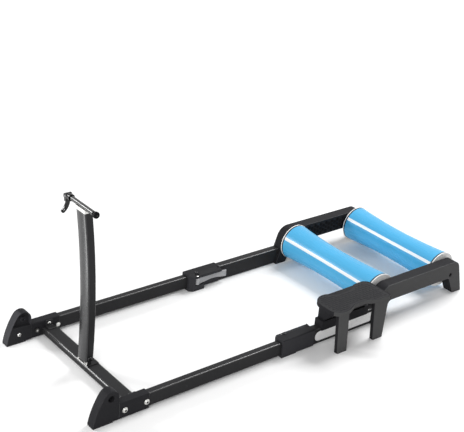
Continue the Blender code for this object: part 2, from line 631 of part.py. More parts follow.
def make_clamp(name, side):
    """Housing at the mouth of an outer rail, with the cam lever that grips the inner rail."""
    roof_y = OUTER_RAIL_INNER_Y - CLAMP_ROOF_EDGE
    lobe_y = LEVER_PIN_Y - CLAMP_LOBE
    outer_y = OUTER_RAIL_OUTER_Y + CLAMP_WALL
    rear_x = CLAMP_REAR_X
    outline = rounded_outline(
        [
            (side * outer_y, 0, 0.001),
            (side * outer_y, CLAMP_TOP, 0.005),
            (side * roof_y, CLAMP_TOP, 0.003),
            (side * lobe_y, CLAMP_SHOULDER_Z, 0.002),
            (side * lobe_y, 0, 0.001),
        ]
    )
    bm = prism(bmesh.new(), outline, "x", CLAMP_FRONT_X, rear_x)
    housing = add_piece(f"clamp_housing_{name}", bm, "dark_grey_plastic", "stand")

    y = side * TRACK_HALF
    past = 0.005
    bore_w = INNER_RAIL_WIDTH / 2 + RUNNING_GAP
    bore_h = INNER_RAIL_HEIGHT / 2 + RUNNING_GAP
    bore = prism(
        bmesh.new(), rectangle(y - bore_w, y + bore_w, RAIL_Z - bore_h, RAIL_Z + bore_h),
        "x", CLAMP_FRONT_X - past, CLAMP_BLOCK_REAR_X + past,
    )
    cut(housing, bore, "inner_rail_bore", "stand")
    corner = [
        (CLAMP_FRONT_X - CLAMP_CORNER_LENGTH, lobe_y + 2 * CLAMP_CORNER_WIDTH),
        (CLAMP_FRONT_X + 2 * CLAMP_CORNER_LENGTH, lobe_y - CLAMP_CORNER_WIDTH),
        (CLAMP_FRONT_X - CLAMP_CORNER_LENGTH, lobe_y - CLAMP_CORNER_WIDTH),
    ]
    bm = prism(bmesh.new(), [(a, side * b) for a, b in corner], "z", -past, CLAMP_TOP + past)
    cut(housing, bm, "front_corner", "stand")
    socket_w = OUTER_RAIL_WIDTH / 2 + GAP
    socket = prism(
        bmesh.new(), rectangle(y - socket_w, y + socket_w, -past, OUTER_RAIL_TOP + GAP),
        "x", CLAMP_BLOCK_REAR_X, rear_x + past,
    )
    cut(housing, socket, "outer_rail_socket", "stand")
    low_y, high_y = span(side, 0, outer_y + past)
    heel = box(bmesh.new(), (CLAMP_BLOCK_REAR_X, low_y, -past), (rear_x + past, high_y, CLAMP_STEP))
    cut(housing, heel, "heel", "stand")

    slot_low = LEVER_LOW - LEVER_SLOT_MARGIN
    slot_high = LEVER_HIGH + LEVER_SLOT_MARGIN
    slot_front_x = LEVER_PIN_X - LEVER_CAM_RADIUS - LEVER_SLOT_MARGIN
    back_y = LEVER_PIN_Y + LEVER_CAM_RADIUS + RUNNING_GAP
    low_y, high_y = span(side, lobe_y - past, back_y)
    slot = box(bmesh.new(), (slot_front_x, low_y, slot_low), (CLAMP_BLOCK_REAR_X, high_y, slot_high))
    cut(housing, slot, "cam_slot", "stand")
    low_y, high_y = span(side, lobe_y - past, OUTER_RAIL_INNER_Y)
    slot = box(bmesh.new(), (CLAMP_BLOCK_REAR_X - past, low_y, slot_low), (rear_x + past, high_y, slot_high))
    cut(housing, slot, "lever_slot", "stand")
    low_y, high_y = span(side, lobe_y - past, OUTER_RAIL_INNER_Y - SLEEVE_OUTER_WALL)
    shelf = box(bmesh.new(), (CLAMP_BLOCK_REAR_X, low_y, -past), (rear_x + past, high_y, slot_low + past))
    cut(housing, shelf, "lower_shelf", "stand")

    pad_z = (LEVER_LOW + LEVER_HIGH) / 2
    half = PAD_SIZE / 2 + GAP
    low_y, high_y = span(side, back_y - past, INNER_RAIL_INNER_Y)
    window = box(
        bmesh.new(), (LEVER_PIN_X - half, low_y, pad_z - half), (LEVER_PIN_X + half, high_y, pad_z + half)
    )
    cut(housing, window, "pad_window", "stand")
    pin_at = (LEVER_PIN_X, side * LEVER_PIN_Y, 0)
    hole = turned(
        bmesh.new(),
        [
            (0, LEVER_PIN_BOTTOM - GAP),
            (LEVER_PIN_RADIUS + RUNNING_GAP, LEVER_PIN_BOTTOM - GAP),
            (LEVER_PIN_RADIUS + RUNNING_GAP, LEVER_PIN_SEAT),
            (LEVER_PIN_HEAD_RADIUS + LEVER_SLOT_MARGIN, LEVER_PIN_SEAT),
            (LEVER_PIN_HEAD_RADIUS + LEVER_SLOT_MARGIN, CLAMP_TOP + past),
            (0, CLAMP_TOP + past),
        ],
        "z", pin_at, MEDIUM_ROUND,
    )
    cut(housing, hole, "pin_hole", "stand")

    low_y, high_y = span(side, back_y, INNER_RAIL_INNER_Y - RUNNING_GAP)
    half = PAD_SIZE / 2
    pad = box(bmesh.new(), (LEVER_PIN_X - half, low_y, pad_z - half), (LEVER_PIN_X + half, high_y, pad_z + half))
    add_piece(f"clamp_pad_{name}", pad, "black_rubber", "stand")
    seat = LEVER_PIN_SEAT + GAP
    pin = turned(
        bmesh.new(),
        [
            (0, LEVER_PIN_BOTTOM),
            (LEVER_PIN_RADIUS, LEVER_PIN_BOTTOM),
            (LEVER_PIN_RADIUS, seat),
            (LEVER_PIN_HEAD_RADIUS, seat),
            (LEVER_PIN_HEAD_RADIUS, seat + LEVER_PIN_HEAD),
            (0, seat + LEVER_PIN_HEAD),
        ],
        "z", pin_at, SMALL_ROUND,
    )
    add_piece(f"clamp_pin_{name}", pin, "zinc_plate", "stand")
    make_clamp_lever(name, side, pin_at)


def lever_middle(x):
    """How far the lever's middle line lies outside its pin, at a distance behind the pin."""
    if x < LEVER_DIP_X:
        start, end, share = -LEVER_ROOT_INSET, LEVER_DIP, x / LEVER_DIP_X
    else:
        start, end, share = LEVER_DIP, -LEVER_TIP_INSET, (x - LEVER_DIP_X) / (LEVER_LENGTH - LEVER_DIP_X)
    ease = share * share * (3 - 2 * share)
    return start + (end - start) * ease


def make_clamp_lever(name, side, pin_at):
    stations = [LEVER_LENGTH * i / 12 for i in range(13)]
    inner = [(x, lever_middle(x) - LEVER_HALF_THICKNESS) for x in stations]
    outer = [(x, lever_middle(x) + LEVER_HALF_THICKNESS) for x in reversed(stations)]
    outline = [(pin_at[0] + x, side * (LEVER_PIN_Y + y)) for x, y in inner + outer]
    body = f"{name}_lever"
    lever = add_piece(
        f"clamp_lever_{name}", prism(bmesh.new(), outline, "z", LEVER_LOW, LEVER_HIGH), "grey_nylon", body
    )
    cam = rod(bmesh.new(), LEVER_CAM_RADIUS, "z", pin_at, LEVER_LOW, LEVER_HIGH, MEDIUM_ROUND)
    join(lever, cam, "cam", body)
    past = 0.002
    hole = rod(
        bmesh.new(), LEVER_PIN_RADIUS + RUNNING_GAP, "z", pin_at, LEVER_LOW - past, LEVER_HIGH + past, SMALL_ROUND
    )
    cut(lever, hole, "pin_hole", body)


def make_label():
    y = OUTER_RAIL_OUTER_Y + GAP
    half = LABEL_HEIGHT / 2
    outline = arc((LABEL_FRONT_X + half, RAIL_Z), half, math.pi / 2, 3 * math.pi / 2, 8)
    rear_x = LABEL_FRONT_X + LABEL_LENGTH
    outline += [(rear_x, RAIL_Z - half), (rear_x, RAIL_Z + half)]
    bm = prism(bmesh.new(), outline, "y", *span(NEAR, y, y + LABEL_THICKNESS))
    add_piece("label_plate", bm, "white_label", "stand")


def roller_radius(y):
    """The roller's hourglass shape: full at its ends, and slimmer at the waist."""
    return ROLLER_WAIST_RADIUS + (ROLLER_RADIUS - ROLLER_WAIST_RADIUS) * (y / ROLLER_HALF) ** 2


def make_roller(place):
    x = ROLLER_XS[place]
    body = f"{place}_roller"
    centre = (x, 0, ROLLER_Z)
    shell_half = ROLLER_HALF - CAP_FLANGE - GAP
    seat_y = ROLLER_HALF - CAP_FLANGE - CAP_SPIGOT - GAP
    seat_radius = roller_radius(seat_y) - ROLLER_WALL
    ys = [shell_half * (2 * i / ROLLER_STATIONS - 1) for i in range(ROLLER_STATIONS + 1)]
    outside = [(roller_radius(y), y) for y in ys]
    inner_ys = [seat_y * (1 - 2 * i / (ROLLER_STATIONS - 2)) for i in range(ROLLER_STATIONS - 1)]
    inside = [(roller_radius(y) - ROLLER_WALL, y) for y in inner_ys]
    profile = outside + [(seat_radius, shell_half)] + inside + [(seat_radius, -shell_half)]
    add_piece(
        f"roller_shell_{place}", turned(bmesh.new(), profile, "y", centre, BIG_ROUND, closed=True),
        "blue_roller", body,
    )
    spigot = seat_radius - GAP
    hub_bore = BEARING_OUTER_RADIUS + GAP
    hub = hub_bore + HUB_WALL
    web = CAP_RECESS + CAP_WALL
    hub_end = BEARING_DEPTH + BEARING_WIDTH
    cap_profile = [
        (AXLE_SHOULDER_RADIUS + HUB_WALL, CAP_RECESS),
        (ROLLER_RADIUS - CAP_RIM, CAP_RECESS),
        (ROLLER_RADIUS - CAP_RIM + CAP_RECESS, 0),
        (ROLLER_RADIUS, 0),
        (ROLLER_RADIUS, CAP_FLANGE),
        (spigot, CAP_FLANGE),
        (spigot, CAP_FLANGE + CAP_SPIGOT),
        (spigot - CAP_WALL, CAP_FLANGE + CAP_SPIGOT),
        (spigot - CAP_WALL, web),
        (hub, web),
        (hub, hub_end),
        (hub_bore, hub_end),
        (hub_bore, BEARING_DEPTH - GAP),
        (AXLE_SHOULDER_RADIUS + HUB_WALL, BEARING_DEPTH - GAP),
    ]
    for name, side in SIDES.items():
        flipped = [(radius, side * (ROLLER_HALF - depth)) for radius, depth in cap_profile]
        bm = turned(bmesh.new(), flipped, "y", centre, BIG_ROUND, closed=True)
        add_piece(f"roller_cap_{place}_{name}", bm, "pale_grey_plastic", body)
        low_y, high_y = span(side, ROLLER_HALF - hub_end, ROLLER_HALF - BEARING_DEPTH)
        bm = tube(
            bmesh.new(), BEARING_OUTER_RADIUS, BEARING_BORE_RADIUS, "y", centre, low_y, high_y, MEDIUM_ROUND
        )
        add_piece(f"bearing_{place}_{name}", bm, "steel", body)
    make_axle(place, centre)


def make_axle(place, centre):
    radius = BEARING_BORE_RADIUS - RUNNING_GAP
    shoulder_y = ROLLER_HALF - BEARING_DEPTH - BEARING_WIDTH - RUNNING_GAP
    thread = AXLE_SCREW_RADIUS + RUNNING_GAP
    thread_y = AXLE_HALF + GAP + AXLE_WEB - AXLE_SCREW_LENGTH - GAP
    half = [
        (AXLE_SHOULDER_RADIUS, shoulder_y),
        (radius, shoulder_y),
        (radius, AXLE_HALF),
        (thread, AXLE_HALF),
        (thread, thread_y),
        (0, thread_y),
    ]
    profile = [(r, -y) for r, y in reversed(half)] + half
    add_piece(f"roller_axle_{place}", turned(bmesh.new(), profile, "y", centre, MEDIUM_ROUND), "steel", "stand")
    seat_y = AXLE_HALF + GAP + AXLE_WEB + GAP
    for name, side in SIDES.items():
        screw = [
            (0, seat_y - AXLE_SCREW_LENGTH),
            (AXLE_SCREW_RADIUS, seat_y - AXLE_SCREW_LENGTH),
            (AXLE_SCREW_RADIUS, seat_y),
            (AXLE_SCREW_HEAD_RADIUS, seat_y),
            (AXLE_SCREW_HEAD_RADIUS, seat_y + AXLE_SCREW_HEAD),
            (0, seat_y + AXLE_SCREW_HEAD),
        ]
        bm = turned(bmesh.new(), [(r, side * y) for r, y in screw], "y", centre, SMALL_ROUND)
        add_piece(f"axle_screw_{place}_{name}", bm, "zinc_plate", "stand")


def foot_outline(low):
    """Side view of a foot: a long front curve that runs into a round top, and an upright rear edge."""
    centre_x = FOOT_TIP_X + math.sqrt(FOOT_FRONT_RADIUS**2 - (low + FOOT_CENTRE_DROP) ** 2)
    reach = FOOT_FRONT_RADIUS - FOOT_TOP_RADIUS
    rise = math.sqrt(reach**2 - (centre_x - FOOT_TOP_X) ** 2)
    start = math.pi - math.asin((low + FOOT_CENTRE_DROP) / FOOT_FRONT_RADIUS)
    meet = math.pi - math.atan2(rise, centre_x - FOOT_TOP_X)
    points = arc((centre_x, -FOOT_CENTRE_DROP), FOOT_FRONT_RADIUS, start, meet, 8)
    points += arc((FOOT_TOP_X, rise - FOOT_CENTRE_DROP), FOOT_TOP_RADIUS, meet, 0, 8)[1:]
    return points + [(FOOT_REAR_X, low)]


def make_foot(name, side):
    inner_y = INNER_RAIL_INNER_Y - FOOT_INNER_WALL
    outer_y = TRACK_HALF + INNER_RAIL_WIDTH / 2 + FOOT_OUTER_WALL
    body = "front_frame"
    bm = prism(bmesh.new(), foot_outline(FOOT_PAD_HEIGHT + GAP), "y", *span(side, inner_y, outer_y))
    bmesh.ops.recalc_face_normals(bm, faces=bm.faces)
    outer_face = max(bm.faces, key=lambda face: side * face.calc_center_median().y)
    bmesh.ops.inset_region(bm, faces=[outer_face], thickness=FOOT_RIM, depth=-FOOT_RECESS)
    foot = add_piece(f"foot_{name}", bm, "dark_grey_plastic", body)

    y = side * TRACK_HALF
    half_w = INNER_RAIL_WIDTH / 2 + GAP
    half_h = INNER_RAIL_HEIGHT / 2 + GAP
    socket = prism(
        bmesh.new(), rectangle(y - half_w, y + half_w, RAIL_Z - half_h, RAIL_Z + half_h),
        "x", INNER_RAIL_FRONT_X - GAP, FOOT_REAR_X + FOOT_RIM,
    )
    cut(foot, socket, "rail_socket", body)
    low_y, high_y = span(side, outer_y - FOOT_RECESS - FOOT_SOCKET_DEPTH, outer_y + FOOT_RIM)
    hole = rod(
        bmesh.new(), FOOT_SOCKET_RADIUS, "y", (FOOT_TOP_X + GAP, 0, FOOT_SOCKET_Z), low_y, high_y, MEDIUM_ROUND
    )
    cut(foot, hole, "round_socket", body)
    low_y, high_y = span(side, inner_y - FOOT_RIM, TRACK_HALF)
    hole = rod(
        bmesh.new(), BOLT_RADIUS + RUNNING_GAP, "y", (FOOT_BOLT_X, 0, FOOT_BOLT_Z), low_y, high_y, SMALL_ROUND
    )
    cut(foot, hole, "bolt_hole", body)

    bolt = [
        (0, inner_y - GAP - BOLT_HEAD),
        (FOOT_BOLT_HEAD_RADIUS, inner_y - GAP - BOLT_HEAD),
        (FOOT_BOLT_HEAD_RADIUS, inner_y - GAP),
        (BOLT_RADIUS, inner_y - GAP),
        (BOLT_RADIUS, TRACK_HALF + INNER_RAIL_WIDTH / 2),
        (0, TRACK_HALF + INNER_RAIL_WIDTH / 2),
    ]
    bm = turned(
        bmesh.new(), [(r, side * along) for r, along in bolt], "y", (FOOT_BOLT_X, 0, FOOT_BOLT_Z), SMALL_ROUND
    )
    add_piece(f"foot_bolt_{name}", bm, "zinc_plate", body)
    front_x = foot_outline(FOOT_PAD_HEIGHT + GAP)[0][0]
    low_y, high_y = span(side, inner_y + FOOT_RECESS / 3, outer_y - FOOT_RECESS / 3)
    bm = box(bmesh.new(), (front_x, low_y, 0), (front_x + FOOT_PAD_LENGTH, high_y, FOOT_PAD_HEIGHT))
    add_piece(f"foot_pad_{name}", bm, "black_rubber", body)


def make_sleeve(name, side):
    """Casting behind each foot that ties the crossbar to the inner rail."""
    body = "front_frame"
    corner = 0.003
    half_w = INNER_RAIL_WIDTH / 2 + GAP
    half_h = INNER_RAIL_HEIGHT / 2 + GAP
    outer = rectangle(*span(side, SLEEVE_INNER_Y, SLEEVE_OUTER_Y), SLEEVE_LOW, SLEEVE_HIGH, corner)
    y = side * TRACK_HALF
    bore = rectangle(y - half_w, y + half_w, RAIL_Z - half_h, RAIL_Z + half_h, RAIL_CORNER)
    bm = straight_pipe(bmesh.new(), outer, bore, "x", FOOT_REAR_X + GAP, SLEEVE_REAR_X)
    sleeve = add_piece(f"rail_sleeve_{name}", bm, "dark_grey_plastic", body)
    holes = bmesh.new()
    reach = (SLEEVE_OUTER_Y - SLEEVE_INNER_Y) * 0.75
    for x in SLEEVE_BOLT_XS.values():
        append(
            holes,
            rod(bmesh.new(), BOLT_RADIUS + RUNNING_GAP, "y", (x, y, SLEEVE_BOLT_Z), -reach, reach, SMALL_ROUND),
        )
    cut(sleeve, holes, "bolt_holes", body)
    low_y, high_y = span(side, SLEEVE_INNER_Y - GAP, INNER_RAIL_INNER_Y)
    hole = rod(
        bmesh.new(), CORNER_BOLT_RADIUS + RUNNING_GAP, "y", (CROSSBAR_X, 0, CORNER_BOLT_Z), low_y, high_y, SMALL_ROUND
    )
    cut(sleeve, hole, "corner_bolt_hole", body)

    for place, x in SLEEVE_BOLT_XS.items():
        profile = [
            (0, SLEEVE_INNER_Y - GAP - NUT_HEIGHT),
            (NUT_RADIUS, SLEEVE_INNER_Y - GAP - NUT_HEIGHT),
            (NUT_RADIUS, SLEEVE_INNER_Y - GAP),
            (BOLT_RADIUS, SLEEVE_INNER_Y - GAP),
            (BOLT_RADIUS, SLEEVE_OUTER_Y + GAP),
            (BOLT_HEAD_RADIUS, SLEEVE_OUTER_Y + GAP),
            (BOLT_HEAD_RADIUS, SLEEVE_OUTER_Y + GAP + BOLT_HEAD),
            (0, SLEEVE_OUTER_Y + GAP + BOLT_HEAD),
        ]
        bm = turned(
            bmesh.new(), [(r, side * along) for r, along in profile], "y", (x, 0, SLEEVE_BOLT_Z), SMALL_ROUND
        )
        add_piece(f"sleeve_bolt_{place}_{name}", bm, "zinc_plate", body)
    make_corner_bracket(name, side)


def make_corner_bracket(name, side):
    body = "front_frame"
    wall_y = SLEEVE_INNER_Y - GAP
    low_z = CROSSBAR_TOP + GAP
    outline = [
        (wall_y, low_z),
        (wall_y, low_z + CORNER_LEG),
        (wall_y - CORNER_PLATE, low_z + CORNER_LEG),
        (wall_y - CORNER_PLATE, low_z + CORNER_PLATE),
        (wall_y - CORNER_LEG, low_z + CORNER_PLATE),
        (wall_y - CORNER_LEG, low_z),
    ]
    low_x = CROSSBAR_X - CORNER_WIDTH / 2
    bm = prism(bmesh.new(), [(side * a, b) for a, b in outline], "x", low_x, low_x + CORNER_WIDTH)
    bracket = add_piece(f"corner_bracket_{name}", bm, "black_powder_coat", body)
    at = (CROSSBAR_X, 0, CORNER_BOLT_Z)
    low_y, high_y = span(side, wall_y - 2 * CORNER_PLATE, wall_y + CORNER_PLATE)
    hole = rod(bmesh.new(), CORNER_BOLT_RADIUS + RUNNING_GAP, "y", at, low_y, high_y, SMALL_ROUND)
    cut(bracket, hole, "bolt_hole", body)
    seat_y = wall_y - CORNER_PLATE - GAP
    profile = [
        (0, seat_y - CORNER_BOLT_HEAD),
        (CORNER_BOLT_HEAD_RADIUS, seat_y - CORNER_BOLT_HEAD),
        (CORNER_BOLT_HEAD_RADIUS, seat_y),
        (CORNER_BOLT_RADIUS, seat_y),
        (CORNER_BOLT_RADIUS, INNER_RAIL_INNER_Y - GAP),
        (0, INNER_RAIL_INNER_Y - GAP),
    ]
    bm = turned(bmesh.new(), [(r, side * along) for r, along in profile], "y", at, SMALL_ROUND)
    add_piece(f"corner_bolt_{name}", bm, "zinc_plate", body)


def make_crossbar():
    low_x, high_x = CROSSBAR_FRONT_X, CROSSBAR_REAR_X
    outer = rectangle(low_x, high_x, CROSSBAR_LOW, CROSSBAR_TOP, CROSSBAR_CORNER)
    wall = CROSSBAR_WALL
    bore = rectangle(
        low_x + wall, high_x - wall, CROSSBAR_LOW + wall, CROSSBAR_TOP - wall, CROSSBAR_CORNER - wall
    )
    bm = straight_pipe(bmesh.new(), outer, bore, "y", -CROSSBAR_HALF, CROSSBAR_HALF)
    add_piece("crossbar", bm, "black_powder_coat", "front_frame")


def make_hinge():
    """Bracket on the crossbar whose ears stand inside the post's foot, and the bolt through both."""
    body = "front_frame"
    plate_low = CROSSBAR_TOP + GAP
    corner = CROSSBAR_CORNER
    bm = box(
        bmesh.new(),
        (CROSSBAR_FRONT_X + corner / 2, -HINGE_PLATE_HALF, plate_low),
        (CROSSBAR_REAR_X - corner, HINGE_PLATE_HALF, HINGE_PLATE_TOP),
    )
    bracket = add_piece("hinge_bracket", bm, "zinc_plate", body)
    ear_y = POST_WIDTH / 2 - POST_WALL - RUNNING_GAP
    ears = bmesh.new()
    outline = [(HINGE_X + HINGE_EAR_RADIUS, HINGE_PLATE_TOP - HINGE_PLATE / 2)]
    outline += arc((HINGE_X, HINGE_Z), HINGE_EAR_RADIUS, 0, math.pi, 8)
    outline += [(HINGE_X - HINGE_EAR_RADIUS, HINGE_Z - HINGE_EAR_RADIUS)]
    outline += [(HINGE_X - HINGE_EAR_FRONT, HINGE_PLATE_TOP - HINGE_PLATE / 2)]
    for side in SIDES.values():
        prism(ears, outline, "y", *span(side, ear_y - HINGE_PLATE, ear_y))
    join(bracket, ears, "ears", body)
    at = (HINGE_X, 0, HINGE_Z)
    hole = rod(bmesh.new(), HINGE_BOLT_RADIUS + RUNNING_GAP, "y", at, -POST_WIDTH, POST_WIDTH, SMALL_ROUND)
    cut(bracket, hole, "bolt_hole", body)
    seat_y = POST_WIDTH / 2 + RUNNING_GAP
    half = [
        (HINGE_BOLT_RADIUS, seat_y),
        (HINGE_BOLT_HEAD_RADIUS, seat_y),
        (HINGE_BOLT_HEAD_RADIUS, seat_y + HINGE_BOLT_HEAD),
        (0, seat_y + HINGE_BOLT_HEAD),
    ]
    profile = [(r, -y) for r, y in reversed(half)] + half
    add_piece("hinge_bolt", turned(bmesh.new(), profile, "y", at, SMALL_ROUND), "zinc_plate", body)


def post_ring(z, inset):
    """One ring of the post: its outside, or the inside of its wall."""
    corner = POST_CORNER - inset
    half_d = POST_DEPTH / 2 - inset
    half_w = POST_WIDTH / 2 - inset
    x = post_x(z)
    return [(a, b, z) for a, b in rectangle(x - half_d, x + half_d, -half_w, half_w, corner)]


def make_post():
    body = "fork_post"
    zs = [POST_FOOT_Z + (POST_TOP_Z - POST_FOOT_Z) * i / POST_STATIONS for i in range(POST_STATIONS + 1)]
    outer = [post_ring(z, 0) for z in zs]
    inner = [post_ring(z, POST_WALL) for z in zs]
    post = add_piece("post", pipe(bmesh.new(), outer, inner), "black_powder_coat", body)

    past = 0.010
    wide = POST_WIDTH / 2 + past
    slot_half = POST_WIDTH / 2 - POST_WALL
    slot = box(
        bmesh.new(), (HINGE_X, -slot_half, POST_FOOT_Z - past),
        (HINGE_X + POST_DEPTH, slot_half, HINGE_Z + HINGE_SLOT_RISE),
    )
    cut(post, slot, "ear_slot", body)
    hole = rod(
        bmesh.new(), HINGE_BOLT_RADIUS + RUNNING_GAP, "y", (HINGE_X, 0, HINGE_Z), -wide, wide, SMALL_ROUND
    )
    cut(post, hole, "bolt_hole", body)


def make_fork_mount():
    body = "fork_post"
    at = (FORK_TUBE_X, 0, FORK_TUBE_Z)
    bm = tube(
        bmesh.new(), FORK_TUBE_RADIUS, SKEWER_RADIUS + RUNNING_GAP, "y", at,
        -FORK_TUBE_HALF, FORK_TUBE_HALF, MEDIUM_ROUND,
    )
    add_piece("fork_tube", bm, "black_powder_coat", body)

    cradle = FORK_TUBE_RADIUS + GAP
    dip = math.asin(SADDLE_TOP / cradle)
    low_z = POST_TOP_Z + GAP
    front_x = post_x(POST_TOP_Z) - POST_DEPTH / 2
    rear_x = post_x(POST_TOP_Z) + POST_DEPTH / 2
    lip_z = FORK_TUBE_Z - SADDLE_TOP
    outline = arc((FORK_TUBE_X, FORK_TUBE_Z), cradle, -math.pi + dip, -dip, 8)
    outline += [(FORK_TUBE_X + SADDLE_REACH, lip_z), (rear_x, low_z + GAP), (rear_x, low_z), (front_x, low_z)]
    outline += [(FORK_TUBE_X - SADDLE_REACH, lip_z)]
    half = POST_WIDTH / 2
    add_piece(
        "fork_tube_saddle", prism(bmesh.new(), outline, "y", -half, half), "black_powder_coat", body
    )

    nut_y = YOKE_Y + NUT_LENGTH
    rod_profile = [
        (0, -nut_y),
        (SKEWER_RADIUS, -nut_y),
        (SKEWER_RADIUS, YOKE_Y),
        (YOKE_RADIUS, YOKE_Y),
        (YOKE_RADIUS, YOKE_Y + YOKE_LENGTH),
        (0, YOKE_Y + YOKE_LENGTH),
    ]
    skewer = add_piece("skewer", turned(bmesh.new(), rod_profile, "y", at, SMALL_ROUND), "zinc_plate", body)
    yoke_end = YOKE_Y + YOKE_LENGTH
    outline = [(yoke_end - YOKE_LENGTH / 2, FORK_TUBE_Z - CAM_RADIUS)]
    outline += arc((CAM_Y, FORK_TUBE_Z), CAM_RADIUS, -math.pi / 2, math.pi / 2, 8)
    outline += [(yoke_end - YOKE_LENGTH / 2, FORK_TUBE_Z + CAM_RADIUS)]
    tongue_half = YOKE_TONGUE_HALF
    tongue = prism(bmesh.new(), outline, "x", FORK_TUBE_X - tongue_half, FORK_TUBE_X + tongue_half)
    join(skewer, tongue, "tongue", body)
    cam_at = (FORK_TUBE_X, CAM_Y, FORK_TUBE_Z)
    hole = rod(bmesh.new(), CAM_PIN_RADIUS + RUNNING_GAP, "x", cam_at, -CAM_HALF, CAM_HALF, SMALL_ROUND)
    cut(skewer, hole, "pin_hole", body)
    pin = rod(bmesh.new(), CAM_PIN_RADIUS, "x", cam_at, -CAM_HALF, CAM_HALF, SMALL_ROUND)
    add_piece("skewer_pin", pin, "steel", body)
    make_skewer_lever(cam_at)
    make_skewer_nut(at)


def make_skewer_lever(cam_at):
    body = "skewer_handle"
    x, y, z = cam_at
    gap = YOKE_TONGUE_HALF + RUNNING_GAP
    bridge_top = z - CAM_RADIUS - RUNNING_GAP
    half = HANDLE_THICKNESS / 2
    bridge = box(
        bmesh.new(), (x - CAM_HALF, y - CAM_RADIUS / 2, bridge_top - CAM_BRIDGE),
        (x + CAM_HALF, y + CAM_RADIUS / 2, bridge_top),
    )
    lever = add_piece("skewer_lever", bridge, "black_powder_coat", body)
    for label, low, high in (("front_cam", -CAM_HALF, -gap), ("rear_cam", gap, CAM_HALF)):
        cam = rod(bmesh.new(), CAM_RADIUS, "x", cam_at, low, high, MEDIUM_ROUND)
        join(lever, cam, label, body)
        low_x, high_x = x + low, x + high
        cheek = box(
            bmesh.new(), (low_x, y - CAM_RADIUS / 2, bridge_top - CAM_BRIDGE / 2),
            (high_x, y + CAM_RADIUS / 2, z),
        )
        join(lever, cheek, f"{label}_cheek", body)
    bend = (x - HANDLE_RADIUS, bridge_top)
    outer = arc(bend, HANDLE_RADIUS + HANDLE_HALF_WIDTH, 0, -HANDLE_SWEEP, 8)
    inner = arc(bend, HANDLE_RADIUS - HANDLE_HALF_WIDTH, -HANDLE_SWEEP, 0, 8)
    tip_x = bend[0] + HANDLE_RADIUS * math.cos(HANDLE_SWEEP)
    tip_z = bend[1] - HANDLE_RADIUS * math.sin(HANDLE_SWEEP)
    tip = arc((tip_x, tip_z), HANDLE_HALF_WIDTH, -HANDLE_SWEEP, -HANDLE_SWEEP - math.pi, 6)[1:-1]
    drop = CAM_BRIDGE / 2
    outline = [(a, b - drop) for a, b in outer + tip + inner]
    join(lever, prism(bmesh.new(), outline, "y", y - half, y + half), "handle", body)
    hole = rod(bmesh.new(), CAM_PIN_RADIUS + RUNNING_GAP, "x", cam_at, -2 * CAM_HALF, 2 * CAM_HALF, SMALL_ROUND)
    cut(lever, hole, "pin_hole", body)


def make_skewer_nut(at):
    bore = SKEWER_RADIUS + RUNNING_GAP
    profile = [
        (bore, 0),
        (NUT_NECK_RADIUS, 0),
        (NUT_NECK_RADIUS, NUT_NECK),
        (NUT_GRIP_RADIUS, NUT_NECK),
        (NUT_GRIP_RADIUS, NUT_LENGTH - NUT_NECK),
        (NUT_TIP_RADIUS, NUT_LENGTH),
        (bore, NUT_LENGTH),
    ]
    flipped = [(r, -YOKE_Y - along) for r, along in profile]
    bm = turned(bmesh.new(), flipped, "y", at, MEDIUM_ROUND, closed=True)
    add_piece("skewer_nut", bm, "dark_grey_plastic", "skewer_knob")


def step_outline(inset):
    """Top view of the step: two rounded lobes joined by a narrower waist."""
    low_x = STEP_FRONT_X + inset
    high_x = STEP_FRONT_X + STEP_LENGTH - inset
    middle_x = STEP_FRONT_X + STEP_LENGTH / 2
    low_y = -STEP_OUTER_Y + inset
    high_y = -STEP_OUTER_Y + STEP_LOBE_WIDTH - inset
    bite = (STEP_LOBE_WIDTH - STEP_WAIST_WIDTH) / 2
    flat = STEP_WAIST_LENGTH / 2
    run = STEP_WAIST_RUN
    turn = STEP_WAIST_RADIUS
    ends = {name: radius - inset for name, radius in STEP_END_RADII.items()}
    return rounded_outline(
        [
            (low_x, low_y, ends["front_near"]),
            (middle_x - flat - run, low_y, turn),
            (middle_x - flat, low_y + bite, turn),
            (middle_x + flat, low_y + bite, turn),
            (middle_x + flat + run, low_y, turn),
            (high_x, low_y, ends["rear_near"]),
            (high_x, high_y, ends["rear_far"]),
            (middle_x + flat + run, high_y, turn),
            (middle_x + flat, high_y - bite, turn),
            (middle_x - flat, high_y - bite, turn),
            (middle_x - flat - run, high_y, turn),
            (low_x, high_y, ends["front_far"]),
        ],
        steps=6,
    )


